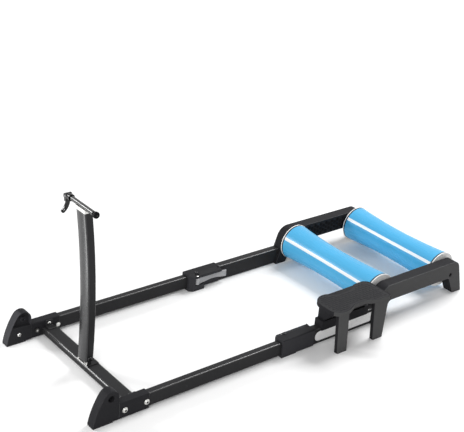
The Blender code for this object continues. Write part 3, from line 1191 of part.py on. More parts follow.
def make_step():
    body = "step_body"
    low_z = STEP_TOP_Z - STEP_SKIRT
    step = add_piece(
        "step", prism(bmesh.new(), step_outline(0), "z", low_z, STEP_TOP_Z), "dark_grey_plastic", body
    )
    under = prism(bmesh.new(), step_outline(STEP_SKIRT_WALL), "z", low_z - STEP_PLATE, STEP_TOP_Z - STEP_PLATE)
    cut(step, under, "hollow", body)

    outer_y = -STEP_OUTER_Y + STEP_LEG_OUT
    for label, (top, foot) in STEP_LEGS.items():
        rings = []
        for (front_x, back_x), z in ((foot, 0), (top, STEP_TOP_Z - STEP_PLATE / 2)):
            ring = rectangle(
                STEP_FRONT_X + front_x, STEP_FRONT_X + back_x, outer_y, outer_y + STEP_LEG_DEPTH, STEP_LEG_CORNER
            )
            rings.append([(a, b, z) for a, b in ring])
        leg = bmesh.new()
        ends = [[leg.verts.new(point) for point in ring] for ring in rings]
        skin(leg, *ends)
        for ring in ends:
            leg.faces.new(ring)
        join(step, leg, label, body)

    seat_z = OUTER_RAIL_TOP + GAP
    lip_in = OUTER_RAIL_INNER_Y - GAP
    lip_out = OUTER_RAIL_OUTER_Y + GAP + LABEL_THICKNESS
    rear_x = SADDLE_FRONT_X + SADDLE_LENGTH
    low_y, high_y = -(lip_out + SADDLE_LIP), -(lip_in - SADDLE_LIP)
    block = prism(
        bmesh.new(), rectangle(SADDLE_FRONT_X, rear_x, seat_z - SADDLE_LIP_DROP, seat_z + SADDLE_BLOCK),
        "y", low_y, high_y,
    )
    join(step, block, "saddle", body)
    channel = box(
        bmesh.new(), (SADDLE_FRONT_X - GAP - SADDLE_BLOCK, -lip_out, -SADDLE_LIP_DROP),
        (rear_x + SADDLE_BLOCK, -lip_in, seat_z),
    )
    cut(step, channel, "rail_channel", body)
    wall_low = seat_z + SADDLE_BLOCK / 2
    wall_high = STEP_TOP_Z - STEP_PLATE / 2
    outline = [
        (high_y, wall_low),
        (high_y - SIDE_WALL, wall_low),
        (high_y - SIDE_WALL, seat_z + SADDLE_BLOCK),
        (high_y - SIDE_WALL_TOP, SIDE_WALL_SLOPE_Z),
        (high_y - SIDE_WALL_TOP, wall_high),
        (high_y, wall_high),
    ]
    wall = prism(bmesh.new(), outline, "x", SADDLE_FRONT_X + SIDE_WALL_INSET, rear_x - SIDE_WALL_INSET)
    join(step, wall, "side_wall", body)
    window_x = SADDLE_FRONT_X + WINDOW_FRONT
    window = box(
        bmesh.new(), (window_x, high_y - SIDE_WALL_TOP - SADDLE_LIP, seat_z + SADDLE_BLOCK),
        (window_x + WINDOW_LENGTH, high_y + SADDLE_LIP, STEP_TOP_Z - STEP_SKIRT + SADDLE_LIP),
    )
    cut(step, window, "window", body)


def main():
    clear_scene()
    make_materials()
    make_bodies()
    for name, side in SIDES.items():
        make_rails(name, side)
        make_arch(name, side)
        make_clamp(name, side)
        make_foot(name, side)
        make_sleeve(name, side)
    for place in ROLLER_XS:
        make_roller(place)
    make_label()
    make_crossbar()
    make_hinge()
    make_post()
    make_fork_mount()
    make_step()


main()
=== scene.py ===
"""Looks for the bike rollers with a folding fork stand and a hook-on step."""

import math
from collections import namedtuple
from types import SimpleNamespace

import bmesh
import bpy
from bpy.props import FloatProperty, FloatVectorProperty, PointerProperty
from bpy.types import Operator, Panel, PropertyGroup
from mathutils import Matrix, Vector
from mathutils.bvhtree import BVHTree
from mathutils.geometry import convex_hull_2d


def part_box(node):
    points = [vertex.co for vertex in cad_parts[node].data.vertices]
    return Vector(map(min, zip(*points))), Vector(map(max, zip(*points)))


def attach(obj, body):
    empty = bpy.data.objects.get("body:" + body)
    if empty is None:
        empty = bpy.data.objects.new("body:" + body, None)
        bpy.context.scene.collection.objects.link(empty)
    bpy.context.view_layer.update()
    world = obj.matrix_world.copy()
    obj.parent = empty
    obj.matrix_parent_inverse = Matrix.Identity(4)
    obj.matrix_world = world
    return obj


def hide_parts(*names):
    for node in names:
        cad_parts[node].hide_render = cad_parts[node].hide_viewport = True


bl_info = {
    "name": "Bike rollers with a fork stand",
    "version": (1, 0, 0),
    "blender": (4, 5, 0),
    "location": "View3D > Sidebar > Rollers",
    "description": "Builds the finished pieces of the rollers, the fork stand and the step on their frame",
    "category": "Add Mesh",
}

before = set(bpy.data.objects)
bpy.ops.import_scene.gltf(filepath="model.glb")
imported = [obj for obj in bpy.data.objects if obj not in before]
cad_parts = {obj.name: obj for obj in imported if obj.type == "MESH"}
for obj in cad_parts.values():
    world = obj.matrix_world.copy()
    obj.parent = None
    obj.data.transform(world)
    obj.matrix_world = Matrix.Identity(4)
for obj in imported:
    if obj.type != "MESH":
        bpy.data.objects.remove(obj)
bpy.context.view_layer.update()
SIDES = {"near": -1, "far": 1}  # the way along Y in which each side looks out
ENDS = ("front", "rear")
PAST = 0.002  # how far a cutter reaches past what it cuts
TOUCH = 1e-5  # places this close count as the same
SQUARE = 0.99  # a normal with this much along an axis belongs to a face square to it
LONG_EDGE = 0.1  # edges over this length run along the crossbar
ROLLER_STATIONS = 32  # steps in the curve of a roller
LIT_SIDE = 0.03  # from the outer side of the step, where its faces take painted light

# A slot, and the finishes of the faces numbered 0, 1 and so on
PLASTIC = ("dark_grey_plastic", "plastic", "plastic_edge")
COAT = ("black_powder_coat", "coat", "coat_edge")
# Face 2 takes the socket finish, zinc darkened as painted shade
ZINC = ("zinc_plate", "zinc", "zinc", "socket")

# Sizes in metres, counts and shares. The hinge's slots are placed by its width, the lines down the post's
# front by sixths of its half width, and the height of a honeycomb row is given over its pitch
ROUNDS = SimpleNamespace(
    sleeve=0.00084, bracket=0.0006, skewer_lever=0.00064, clamp_lever=0.0007, pad=0.0008, cap=0.0006,
    label=0.00015, nub=0.0015, dash=0.0005, nut=0.0005,
)
POCKET = SimpleNamespace(margin=0.005, slope=0.06)
BOSS = SimpleNamespace(sunk=0.0014, chamfer=0.0008, root=0.001)
HINGE = SimpleNamespace(strip=0.0052, slots=(0.9, 0.73, 0.44), radius=0.0013, reach=0.0034, height=0.0045)
HINGE_PIN = SimpleNamespace(radius=0.0034, shank=0.004)
CROWN = SimpleNamespace(lines=range(-4, 5), fall=0.0030, depth=0.0045)
SKEWER = SimpleNamespace(bore=0.0028, chamfer=0.0008, ribs=12, rib=0.0007)
LEVER_HOLE = SimpleNamespace(radius=0.0018, ends=((0.0048, 0.0061), (0.0088, 0.0099)))
NUT = SimpleNamespace(radius=0.0069, height=0.0052, seat=0.006)
NUBS = SimpleNamespace(spans=((0.0259, 0.0339), (0.1120, 0.1180)), inwards=0.0290, root=0.006, rise=0.0035)
PANEL = SimpleNamespace(ends=0.0155, low=0.0067, high=0.0391, depth=0.0221)
COMB = SimpleNamespace(rows=3, row=1.155, ends=0.017, rise=0.0005, depth=0.008)
WEB = SimpleNamespace(
    start=0.0740, length=0.0560, inset=0.0019, low=0.0708, bend=0.103, high=0.130, foot=0.0214, width=0.0554
)
DASH = SimpleNamespace(end_room=0.0015, side_room=0.001, root=0.0003)

# Screws: radius and height of the head, radii of shank, socket and washer, how far the seat lies below
# the end of the CAD piece, and how much shorter than that piece the shank is
Screw = namedtuple("Screw", "head height shank socket washer seat short")
SCREWS = {
    "foot": Screw(0.0056, 0.0042, 0.0038, 0.0023, 0.0, 0.0045, 0.0050),
    "sleeve": Screw(0.0068, 0.0044, 0.0038, 0.0031, 0.0079, 0.0045, 0.0052),
    "corner": Screw(0.0048, 0.0029, 0.0021, 0.0020, 0.0, 0.0030, 0.0032),
    "clamp": Screw(0.0053, 0.0033, 0.0028, 0.0022, 0.0, 0.0034, 0.0036),
    "hinge": Screw(0.0063, 0.0038, 0.0030, 0.0026, 0.0, 0.0040, 0.0),
}


# Shader maths


def maths(operation, reflected=False):
    """The method of an operator, which adds its own Math node."""

    def method(self, other=0.5):
        first, second = (other, self) if reflected else (self, other)
        return self.finish.node("Math", {"operation": operation}, {0: first, 1: second})

    return method


class Value:
    """A shader socket that takes part in sums."""

    def __init__(self, finish, socket):
        self.finish = finish
        self.socket = socket

    __add__ = __radd__ = maths("ADD")
    __mul__ = __rmul__ = maths("MULTIPLY")
    __sub__ = maths("SUBTRACT")
    __rsub__ = maths("SUBTRACT", True)
    __abs__ = maths("ABSOLUTE")
    __lt__ = maths("LESS_THAN")
    __gt__ = maths("GREATER_THAN")


def colour(value):
    return value if isinstance(value, Value) else (*value[:3], 1.0)


def scaled(value, factor):
    return tuple(part * factor for part in value[:3])


class Finish:
    """A material, or the world, in the making."""

    def __init__(self, name, made_in="materials"):
        self.owner = getattr(bpy.data, made_in).new(name)
        self.owner.use_nodes = True
        self.tree = self.owner.node_tree
        self.tree.nodes.clear()

    def node(self, kind, settings, sockets, output=0):
        """Adds a node: its settings first, then the values or links of its sockets."""
        node = self.tree.nodes.new(f"ShaderNode{kind}")
        for name, value in settings.items():
            setattr(node, name, value)
        for key, value in sockets.items():
            if isinstance(value, Value):
                self.tree.links.new(value.socket, node.inputs[key])
            else:
                node.inputs[key].default_value = value
        return Value(self, node.outputs[output]) if node.outputs else None

    def place(self, stretch=(1, 1, 1)):
        """Object coordinates, squeezed along some axes for drawn-out patterns."""
        place = self.node("TexCoord", {}, {}, "Object")
        return self.node("Mapping", {}, {"Vector": place, "Scale": stretch})

    def axes(self):
        place = self.node("TexCoord", {}, {}, "Object")
        return [self.node("SeparateXYZ", {}, {0: place}, output) for output in range(3)]

    def noise(self, size, detail=3.0, roughness=0.55, place=None):
        """Soft noise whose blotches are about this many metres across."""
        sockets = {"Vector": place or self.place(), "Scale": 1 / size, "Detail": detail}
        return self.node("TexNoise", {}, {**sockets, "Roughness": roughness})

    def ramp(self, value, low, high, out_low=0.0, out_high=1.0):
        sockets = {"Value": value, "From Min": low, "From Max": high, "To Min": out_low, "To Max": out_high}
        return self.node("MapRange", {"interpolation_type": "SMOOTHSTEP"}, sockets)

    def blend(self, factor, first, second):
        settings = {"data_type": "RGBA"}
        return self.node("Mix", settings, {0: factor, 6: colour(first), 7: colour(second)}, 2)

    def bump(self, height, depth, strength=1.0):
        return self.node("Bump", {}, {"Height": height, "Distance": depth, "Strength": strength})

    def seen(self):
        """1 where the eye looks straight at the surface, or sees it in a gloss or through glass."""
        kinds = ("Camera", "Glossy", "Transmission")
        camera, *others = [self.node("LightPath", {}, {}, f"Is {kind} Ray") for kind in kinds]
        return sum(others, camera)

    def surface(self, **sockets):
        sockets = {name.replace("_", " "): value for name, value in sockets.items()}
        self.node("OutputMaterial", {}, {"Surface": self.node("BsdfPrincipled", {}, sockets)})
        return self.owner


# Finishes


def powder_coat(name, base, rough=0.42, edge=1.0, gloss=0.07):
    """Baked coat with a fine orange peel, a little uneven in tone, paler where edge is above 1, as wear and
    as a painted highlight.
    """
    finish = Finish(name)
    cloud = finish.noise(0.12, 2.0)
    scuff = finish.ramp(finish.noise(0.011, 5.0, 0.7), 0.56, 0.72)
    tone = finish.blend(cloud, scaled(base, 0.78 * edge), scaled(base, 1.28 * edge))
    tone = finish.blend(scuff * 0.35, tone, scaled(base, 2.1 * edge))
    peel = finish.noise(0.0022, 3.0, 0.5)
    return finish.surface(
        Base_Color=tone, Roughness=finish.ramp(cloud, 0.3, 0.7, rough - 0.06, rough + 0.08) + scuff * 0.1,
        Specular_IOR_Level=gloss, Normal=finish.bump(peel, 0.00012, 0.55),
    )


def moulding(name, base, rough=0.5, edge=1.0, grain=0.0011, gloss=0.045):
    """Moulded plastic: spark-eroded grain, soft flow marks and small bright specks where it is rubbed; paler
    where edge is above 1, as wear and as a painted highlight.
    """
    finish = Finish(name)
    flow = finish.noise(0.09, 3.0, place=finish.place((0.4, 1, 1)))
    speck = finish.ramp(finish.noise(0.0045, 4.0, 0.65), 0.6, 0.78)
    tone = finish.blend(flow, scaled(base, 0.82 * edge), scaled(base, 1.24 * edge))
    tone = finish.blend(speck * 0.3, tone, scaled(base, 1.9 * edge))
    pits = finish.noise(grain, 2.0, 0.6)
    return finish.surface(
        Base_Color=tone, Roughness=finish.ramp(flow, 0.3, 0.7, rough - 0.05, rough + 0.07),
        Specular_IOR_Level=gloss, Normal=finish.bump(pits, 0.00018, 0.6),
    )


def lacquer(name, base, rough=0.14, gloss=0.4):
    """Glossy black over metal, with a faint haze and finger marks."""
    finish = Finish(name)
    haze = finish.noise(0.02, 4.0)
    finger_marks = finish.ramp(finish.noise(0.006, 3.0), 0.52, 0.7)
    return finish.surface(
        Base_Color=finish.blend(haze, scaled(base, 0.8), scaled(base, 1.4)), Specular_IOR_Level=gloss,
        Roughness=finish.ramp(haze, 0.3, 0.7, rough, rough + 0.08) + finger_marks * 0.06,
        Normal=finish.bump(haze, 0.0001, 0.25),
    )


def plated(name, base, rough=0.26):
    """Bright plating with a crystalline bloom and faint smears."""
    finish = Finish(name)
    bloom = finish.node("TexVoronoi", {"feature": "F1"}, {"Vector": finish.place(), "Scale": 900.0})
    smear = finish.noise(0.008, 4.0, 0.6)
    warm = (base[0] * 1.04, base[1] * 1.01, base[2] * 0.93)
    tone = finish.blend(smear, scaled(base, 0.86), warm)
    return finish.surface(
        Base_Color=tone, Metallic=1.0, Roughness=finish.ramp(smear, 0.3, 0.7, rough - 0.05, rough + 0.12),
        Normal=finish.bump(bloom * 0.5 + smear * 0.5, 0.00008, 0.35),
    )


def ground_steel(name, base):
    """Steel ground round its axis, which lies along Y."""
    finish = Finish(name)
    rings = finish.noise(0.012, 3.0, 0.6, finish.place((0.05, 30, 0.05)))
    return finish.surface(
        Base_Color=finish.blend(rings, scaled(base, 0.8), scaled(base, 1.2)), Metallic=1.0,
        Roughness=finish.ramp(rings, 0.3, 0.7, 0.22, 0.42), Normal=finish.bump(rings, 0.00004, 0.5),
    )


def nylon(name, base, edge=1.0):
    """Glass-filled nylon: short pale fibres in a satin grey."""
    finish = Finish(name)
    fibres = finish.noise(0.0016, 2.0, 0.6, finish.place((0.25, 1, 1)))
    cloud = finish.noise(0.03, 2.0)
    tone = finish.blend(cloud, scaled(base, 0.88 * edge), scaled(base, 1.1 * edge))
    tone = finish.blend(finish.ramp(fibres, 0.58, 0.7) * 0.3, tone, scaled(base, 1.7 * edge))
    return finish.surface(
        Base_Color=tone, Roughness=finish.ramp(fibres, 0.3, 0.7, 0.4, 0.56),
        Normal=finish.bump(fibres, 0.00012, 0.5),
    )


def rubber(name, base):
    """Matt rubber with dust in its grain."""
    finish = Finish(name)
    dust = finish.ramp(finish.noise(0.01, 5.0, 0.7), 0.5, 0.75)
    grain = finish.noise(0.0009, 2.0)
    return finish.surface(
        Base_Color=finish.blend(dust * 0.5, base, scaled(base, 2.6)),
        Roughness=finish.ramp(dust, 0.0, 1.0, 0.78, 0.92), Normal=finish.bump(grain, 0.0002, 0.7),
    )


def roller_skin(name, base, stripe, dark, axle, turn, width, ring_from):
    """Turned blue tube with dark rings at its ends, partly painted shade, and a painted highlight along
    either side.
    """
    finish = Finish(name)
    x, y, z = finish.axes()
    # The painted highlight lies where a plane through the axle, at the roller's turn, cuts the tube
    offset = (x - axle.x) * -math.sin(turn) + (z - axle.z) * math.cos(turn)
    waver = (finish.noise(0.03, 2.0) - 0.5) * 0.0006
    mask = abs(offset + waver) < width / 2
    lathe = finish.noise(0.004, 3.0, 0.6, finish.place((0.02, 1, 0.02)))
    cloud = finish.noise(0.15, 2.0)
    rubbed = finish.ramp(finish.noise(0.012, 6.0, 0.75, finish.place((1, 0.35, 1))), 0.55, 0.8)
    tone = finish.blend(cloud, scaled(base, 0.93), scaled(base, 1.07))
    tone = finish.blend(rubbed * 0.18, tone, tuple(part * 0.6 + 0.3 for part in base[:3]))
    # Dark streaks along the roller are painted reflections; its roughness follows them as well
    streak = finish.noise(0.02, 5.0, 0.7, finish.place((1, 0.06, 1)))
    tone = finish.blend(finish.ramp(streak, 0.5, 0.72) * 0.22, tone, scaled(base, 0.7))
    tone = finish.blend(mask, tone, finish.blend(cloud, scaled(stripe, 0.93), stripe))
    # Dark rings at the ends stand for a dark rim, and partly for painted shade of the gap at each cap
    ring = abs(y - axle.y) > ring_from
    tone = finish.blend(ring, tone, finish.blend(lathe, dark, scaled(dark, 2.0)))
    return finish.surface(
        Base_Color=tone, Roughness=finish.ramp(streak, 0.3, 0.7, 0.2, 0.36) + rubbed * 0.1,
        Specular_IOR_Level=0.25, Normal=finish.bump(lathe * 0.6 + mask * 0.4, 0.00008, 0.5),
    )


def label_film(name, base):
    """White film with a few smudges, not quite flat."""
    finish = Finish(name)
    ripple = finish.noise(0.03, 2.0, place=finish.place((0.3, 1, 1)))
    smudge = finish.ramp(finish.noise(0.015, 4.0, 0.65), 0.5, 0.75)
    tone = finish.blend(smudge * 0.5, base, scaled(base, 0.82))
    return finish.surface(
        Base_Color=tone, Roughness=finish.ramp(smudge, 0.0, 1.0, 0.3, 0.45),
        Normal=finish.bump(ripple, 0.0002, 0.3),
    )


# Shapes


def mesh_of(bm, name):
    """Turns a shape into a mesh, which uses the shape up."""
    mesh = bpy.data.meshes.new(name)
    bm.to_mesh(mesh)
    bm.free()
    return mesh


def add_object(name, data):
    made = bpy.data.objects.new(name, data)
    bpy.context.scene.collection.objects.link(made)
    return made


def across(axis, a, b, along):
    """The point with two places across an axis and one along it."""
    return {"x": (along, a, b), "y": (a, along, b), "z": (a, b, along)}[axis]


def split(axis, point):
    """The opposite of across."""
    return [point[i] for i in {"x": (1, 2, 0), "y": (0, 2, 1), "z": (0, 1, 2)}[axis]]


def clean(bm):
    """Merges loose triangles and puts flat areas back in one face."""
    bmesh.ops.remove_doubles(bm, verts=bm.verts, dist=2e-6)
    bmesh.ops.dissolve_limit(bm, angle_limit=math.radians(0.4), verts=bm.verts, edges=bm.edges)
    bmesh.ops.recalc_face_normals(bm, faces=bm.faces)
    return bm


def from_node(node):
    bm = bmesh.new()
    bm.from_mesh(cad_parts[node].data)
    return clean(bm)


def slab(outline, axis, low, high):
    """A straight piece; its outline is given by its two places across the axis."""
    bm = bmesh.new()
    face = bm.faces.new([bm.verts.new(across(axis, a, b, low)) for a, b in outline])
    made = bmesh.ops.extrude_face_region(bm, geom=[face])
    ends = [vert for vert in made["geom"] if isinstance(vert, bmesh.types.BMVert)]
    bmesh.ops.translate(bm, verts=ends, vec=across(axis, 0, 0, high - low))
    bmesh.ops.recalc_face_normals(bm, faces=bm.faces)
    return bm


def block(low, high):
    bm = bmesh.new()
    bmesh.ops.create_cube(bm, size=1)
    bmesh.ops.scale(bm, verts=bm.verts, vec=[abs(b - a) for a, b in zip(low, high)])
    bmesh.ops.translate(bm, verts=bm.verts, vec=[(a + b) / 2 for a, b in zip(low, high)])
    return bm


def turned(profile, axis, at, steps=48):
    """Spins a profile of (radius, place along the axis) about a line through a point."""
    bm = bmesh.new()
    verts = [bm.verts.new((radius, 0, along)) for radius, along in profile]
    edges = [bm.edges.new(pair) for pair in zip(verts, verts[1:])]
    bmesh.ops.spin(
        bm, geom=verts + edges, cent=(0, 0, 0), axis=(0, 0, 1), angle=math.tau, steps=steps, use_merge=True
    )
    bmesh.ops.remove_doubles(bm, verts=bm.verts, dist=1e-6)
    bmesh.ops.recalc_face_normals(bm, faces=bm.faces)
    if axis == "y":
        bmesh.ops.rotate(bm, verts=bm.verts, cent=(0, 0, 0), matrix=Matrix.Rotation(-math.pi / 2, 3, "X"))
    bmesh.ops.translate(bm, verts=bm.verts, vec=at)
    return bm


def polygon(radius, corners, a=0.0, b=0.0, start=0.0):
    angles = (start + math.tau * i / corners for i in range(corners))
    return [(a + radius * math.cos(angle), b + radius * math.sin(angle)) for angle in angles]


def oblong(radius, corners, ends):
    """The outline of a slot with round ends."""
    points = [point for a, b in ends for point in polygon(radius, corners, a, b)]
    return [points[i] for i in convex_hull_2d(points)]


def append(bm, other):
    """Adds a shape to another without joining their surfaces."""
    mesh = mesh_of(other, "loose")
    bm.from_mesh(mesh)
    bpy.data.meshes.remove(mesh)
    return bm


def score(bm, place, normal):
    """Cuts the faces along a plane and keeps both sides."""
    bmesh.ops.bisect_plane(bm, geom=bm.verts[:] + bm.edges[:] + bm.faces[:], plane_co=place, plane_no=normal)


def soften(bm, width, segments=2, angle=35.0, keep=None):
    """Rounds the edges sharper than an angle; the rounds take the finish of face number 1, which on most
    pieces is paler, as wear and as a painted highlight.
    """
    bmesh.ops.triangulate(bm, faces=[face for face in bm.faces if len(face.verts) > 4])
    limit = math.radians(angle)
    sharp = [edge for edge in bm.edges if len(edge.link_faces) == 2 and edge.calc_face_angle(0) > limit]
    made = bmesh.ops.bevel(
        bm, geom=[edge for edge in sharp if keep is None or keep(edge)], offset=width, offset_type="OFFSET",
        segments=segments, profile=0.5, affect="EDGES", clamp_overlap=True, material=-1,
    )
    for face in made["faces"]:
        face.material_index = 1
    return bm


def carve(bm, tool, operation="DIFFERENCE"):
    """Cuts a tool out of the shape, or joins it on."""
    made = []
    for shape in (bm, tool):
        mesh = mesh_of(shape, "stock")
        for _ in range(4):
            mesh.materials.append(None)
        made.append(add_object("stock", mesh))
    cut = made[0].modifiers.new("cut", "BOOLEAN")
    cut.operation = operation
    cut.solver = "EXACT"
    cut.object = made[1]
    result = bpy.data.meshes.new_from_object(made[0].evaluated_get(bpy.context.evaluated_depsgraph_get()))
    bm = bmesh.new()
    bm.from_mesh(result)
    for mesh in (result, made[0].data, made[1].data):
        bpy.data.meshes.remove(mesh)
    return clean(bm)


def grow(bm, chosen, thickness, depth):
    """Insets a patch of faces and moves it in or out."""
    faces = [face for face in bm.faces if chosen(face)]
    if not faces:
        raise RuntimeError("no faces to work on")
    bmesh.ops.inset_region(bm, faces=faces, thickness=thickness, depth=depth, use_even_offset=True)
    return faces


def finish_piece(name, bm, body, materials, node):
    """Makes the object that stands for a CAD piece."""
    mesh = mesh_of(bm, name)
    for material in materials:
        mesh.materials.append(material)
    mesh.shade_smooth()
    mesh.set_sharp_from_angle(angle=math.radians(50))
    piece = add_object(name, mesh)
    even = piece.modifiers.new("even_normals", "WEIGHTED_NORMAL")
    even.keep_sharp = True
    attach(piece, body)
    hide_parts(node)


def stand_in(node, part, bm, body, slot, *looks):
    """Finishes a piece that is named after its CAD piece; looks are in the order of its face numbers."""
    finish_piece(f"{node}_{part}", bm, body, finishes(*looks), node)


def rounded(node, part, width, angle, body, *looks, segments=2):
    """Rounds the edges of a CAD piece and finishes it; its slot, which is not used, comes before its looks.
    """
    stand_in(node, part, soften(from_node(node), width, segments, angle), body, *looks)


def paint(node, look):
    """Gives a CAD piece that keeps its shape its finish."""
    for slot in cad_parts[node].material_slots:
        slot.material = finishes(look)[0]


def halves(node):
    """Middle of a CAD piece, and half its sizes along Y and Z."""
    low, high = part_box(node)
    return (low + high) / 2, (high.y - low.y) / 2, (high.z - low.z) / 2


def bolt(at, axis, way, screw, length):
    """Button-head screw with a hexagon socket; its seat is at a point and its head looks along the axis."""
    base = screw.height * 0.2 if screw.washer else 0.0
    rim = base + screw.height * 0.3
    tip = screw.shank * 0.3
    profile = [(0, -length), (screw.shank * 0.8, -length), (screw.shank, tip - length), (screw.shank, 0)]
    if screw.washer:
        profile += [(screw.washer, 0), (screw.washer, base * 0.8), (screw.washer - base * 0.2, base)]
    profile += [(screw.head, base)]
    for i in range(7):
        angle = math.pi / 2 * i / 6
        profile.append((screw.head * math.cos(angle), rim + (screw.height - rim) * math.sin(angle)))
    bm = turned([(max(radius, 0), way * along) for radius, along in profile], axis, at, 36)
    a, b, seat = split(axis, at)
    top = seat + way * screw.height
    floor = top - way * screw.height * 0.62
    bm = carve(bm, slab(polygon(screw.socket, 6, a, b, 0.4), axis, floor, top + way * PAST))
    # The socket's faces take face number 2, painted shade
    for face in bm.faces:
        face_a, face_b, along = split(axis, face.calc_center_median())
        if math.hypot(face_a - a, face_b - b) < screw.socket and way * (along - floor) > -TOUCH:
            face.material_index = 2
    return bm


def screw_in(node, axis, way, screw):
    """A screw in the place of a CAD piece, with its head at the end that looks along the way."""
    low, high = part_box(node)
    along = "xyz".index(axis)
    at = (low + high) / 2
    at[along] = high[along] - screw.seat if way > 0 else low[along] + screw.seat
    return bolt(at, axis, way, screw, high[along] - low[along] - screw.short)


def put_screw(node, axis, way, kind, body):
    stand_in(node, "screw", screw_in(node, axis, way, SCREWS[kind]), body, *ZINC)


def nut(at, way):
    """Hexagon nut with rounded corners, seated at a point and lying along Y."""
    a, b, seat = split("y", at)
    return soften(slab(polygon(NUT.radius, 6, a, b, 0.25), "y", seat, seat + way * NUT.height), ROUNDS.nut)


def honeycomb(settings, first, last, inner, way):
    """The hexagon pockets between the two axles, as one cutter."""
    comb = bmesh.new()
    length = last.x - first.x - 2 * COMB.ends
    columns = int(length / settings.comb_pitch)
    for i in range(columns + 1):
        x = first.x + COMB.ends + length * i / columns
        odd = i % 2
        for k in range(COMB.rows - odd):
            z = first.z + COMB.rise + (k + odd / 2) * settings.comb_pitch * COMB.row
            outline = polygon(settings.comb_radius, 6, x, z)
            append(comb, slab(outline, "y", inner - way * PAST, inner + way * COMB.depth))
    return comb


# Settings


def measure(unit):
    """Makes the settings of one unit, none of which can fall below 0."""
    return lambda label, description, default: FloatProperty(
        name=label, description=description, default=default, unit=unit, min=0.0
    )


size, power, strength = (measure(unit) for unit in ("LENGTH", "POWER", "NONE"))


def angle_of(label, description, degrees):
    return FloatProperty(name=label, description=description, default=math.radians(degrees), subtype="ANGLE")


def tint(label, description, default):
    return FloatVectorProperty(name=label, description=description, default=default, size=3, subtype="COLOR")


class ColourSettings(PropertyGroup):
    coat: tint("Powder coat", "Rails, crossbar, hinge and corner brackets", (0.022, 0.022, 0.023))
    post: tint("Post", "Satin coat of the post", (0.014, 0.014, 0.015))
    black: tint("Black lacquer", "Fork tube, skewer and hinge bolt", (0.004, 0.004, 0.0045))
    zinc: tint("Zinc plate", "Bolts, strip of the hinge and cradle", (0.72, 0.73, 0.74))
    steel: tint("Steel", "Axles and bearings", (0.45, 0.45, 0.46))
    plastic: tint("Dark plastic", "Feet, sleeves, clamps, arches and step", (0.019, 0.019, 0.021))
    # This paler plastic is painted light on the outer faces of the arches and the step
    pale_plastic: tint("Worn plastic", "Outer faces of the arches and the step", (0.066, 0.066, 0.067))
    knob: tint("Knob", "Nut of the skewer", (0.005, 0.005, 0.006))
    nylon: tint("Grey nylon", "Clamp levers and rail glides", (0.33, 0.33, 0.34))
    # Its colour also paints the dark rings at the roller ends, partly painted shade of the gap at the caps
    rubber: tint("Rubber", "Pads, and the rings at the ends of the rollers", (0.010, 0.010, 0.011))
    blue: tint("Rollers", "Blue of the rollers", (0.074, 0.395, 0.68))
    # The pale line along each roller is a painted highlight
    stripe: tint("Stripe", "Stripe along each roller", (0.86, 0.90, 0.93))
    cap: tint("End caps", "Face of the roller ends", (0.92, 0.92, 0.91))
    label: tint("Label", "Bare label plate", (0.88, 0.88, 0.88))


class StageSettings(PropertyGroup):
    floor_size: size("Floor size", "Side of the floor", 24.0)
    floor_colour: tint("Floor", "Colour of the floor", (0.92, 0.92, 0.92))
    floor_lift: strength("Floor brightness", "Light that the floor adds for the eye near the object", 0.02)
    plain_from: size("Plain floor", "Distance from which the floor turns plain white to the eye", 1.0)
    plain_to: size("Plain floor end", "Distance at which it is all white", 2.2)
    sky: strength("Sky", "Strength of the even light all round", 0.38)
    key: power("Key lamp", "Large lamp above and behind", 62.0)
    rim: power("Rim lamp", "Small lamp ahead and to the far side", 34.0)
    fill: power("Fill lamp", "Large lamp ahead, on the side of the camera", 46.0)
    front: power("Front lamp", "Low lamp ahead of the post", 0.85)
    lens: FloatProperty(name="Lens", description="Focal length of the camera", default=82.898, unit="CAMERA")
    aim: FloatVectorProperty(
        name="Aim", description="Point in the middle of the picture", default=(0.00482, 0.15489, 0.27034),
        size=3, subtype="TRANSLATION", unit="LENGTH",
    )
    distance: size("Distance", "From the camera to the aim", 3.141233)
    turn: angle_of("Turn", "Of the camera round the upright axis", -40.9249)
    rise: angle_of("Rise", "Of the camera above the floor", 25.2275)
    tilt: angle_of("Tilt", "Of the camera about its own line of sight", 5.1344)


class EdgeSettings(PropertyGroup):
    casting: size("Casting edges", "Round of the feet's and clamps' edges", 0.0012)
    arch: size("Arch edges", "Round of the arches' edges", 0.0014)
    step: size("Step edges", "Round of the step's edges", 0.0016)
    crossbar: size("Crossbar edges", "Round of the crossbar's edges", 0.0042)
    plate: size("Plate edges", "Round of the rails', the cradle's and the skewer's edges", 0.0004)


class FrameSettings(PropertyGroup):
    crossbar_wall: size("Crossbar wall", "Thickness of the crossbar's wall", 0.0020)
    pocket_z: size("Pocket height", "Lowest point of the pocket inside each foot", 0.0525)
    pocket_rim: size("Pocket rim", "Wall left round the pocket", 0.0032)
    pocket_depth: size("Pocket depth", "Depth of the pocket", 0.009)
    boss: size("Boss", "Radius of the round boss in the pocket", 0.0078)
    top_radius: size("Top round", "Radius of the foot's round top", 0.023)
    comb_pitch: size("Honeycomb pitch", "From column to column inside the arches", 0.0128)
    comb_radius: size("Honeycomb pocket", "Radius of each pocket over its corners", 0.0072)


class RollerSettings(PropertyGroup):
    waist: size("Waist", "Radius at the middle of each roller", 0.049)
    wall: size("Wall", "Thickness of the roller's tube", 0.003)
    # The painted highlight on each roller: its width, and where it lies
    highlight_width: size("Stripe", "Width of the stripe", 0.0095)
    front_turn: angle_of("Front stripe", "Where the front roller's stripe is, from the rear to the top", 153)
    rear_turn: angle_of("Rear stripe", "The same on the rear roller", 147)
    # The dark ring at each roller end is partly painted shade of the gap by its cap
    dark_end: size("Dark rim", "Width of the dark ring at each end", 0.0042)


class StepSettings(PropertyGroup):
    rim: size("Rim", "Width of the raised rim round the tread", 0.0040)
    sink: size("Sink", "Depth of the tread's floor below the rim", 0.0010)
    row_pitch: size("Rows", "From row to row of the tread", 0.0078)
    dash_pitch: size("Dashes", "From dash to dash along a row", 0.0135)
    dash_length: size("Dash length", "Length of each dash", 0.0100)
    dash_width: size("Dash width", "Width of each dash", 0.0040)


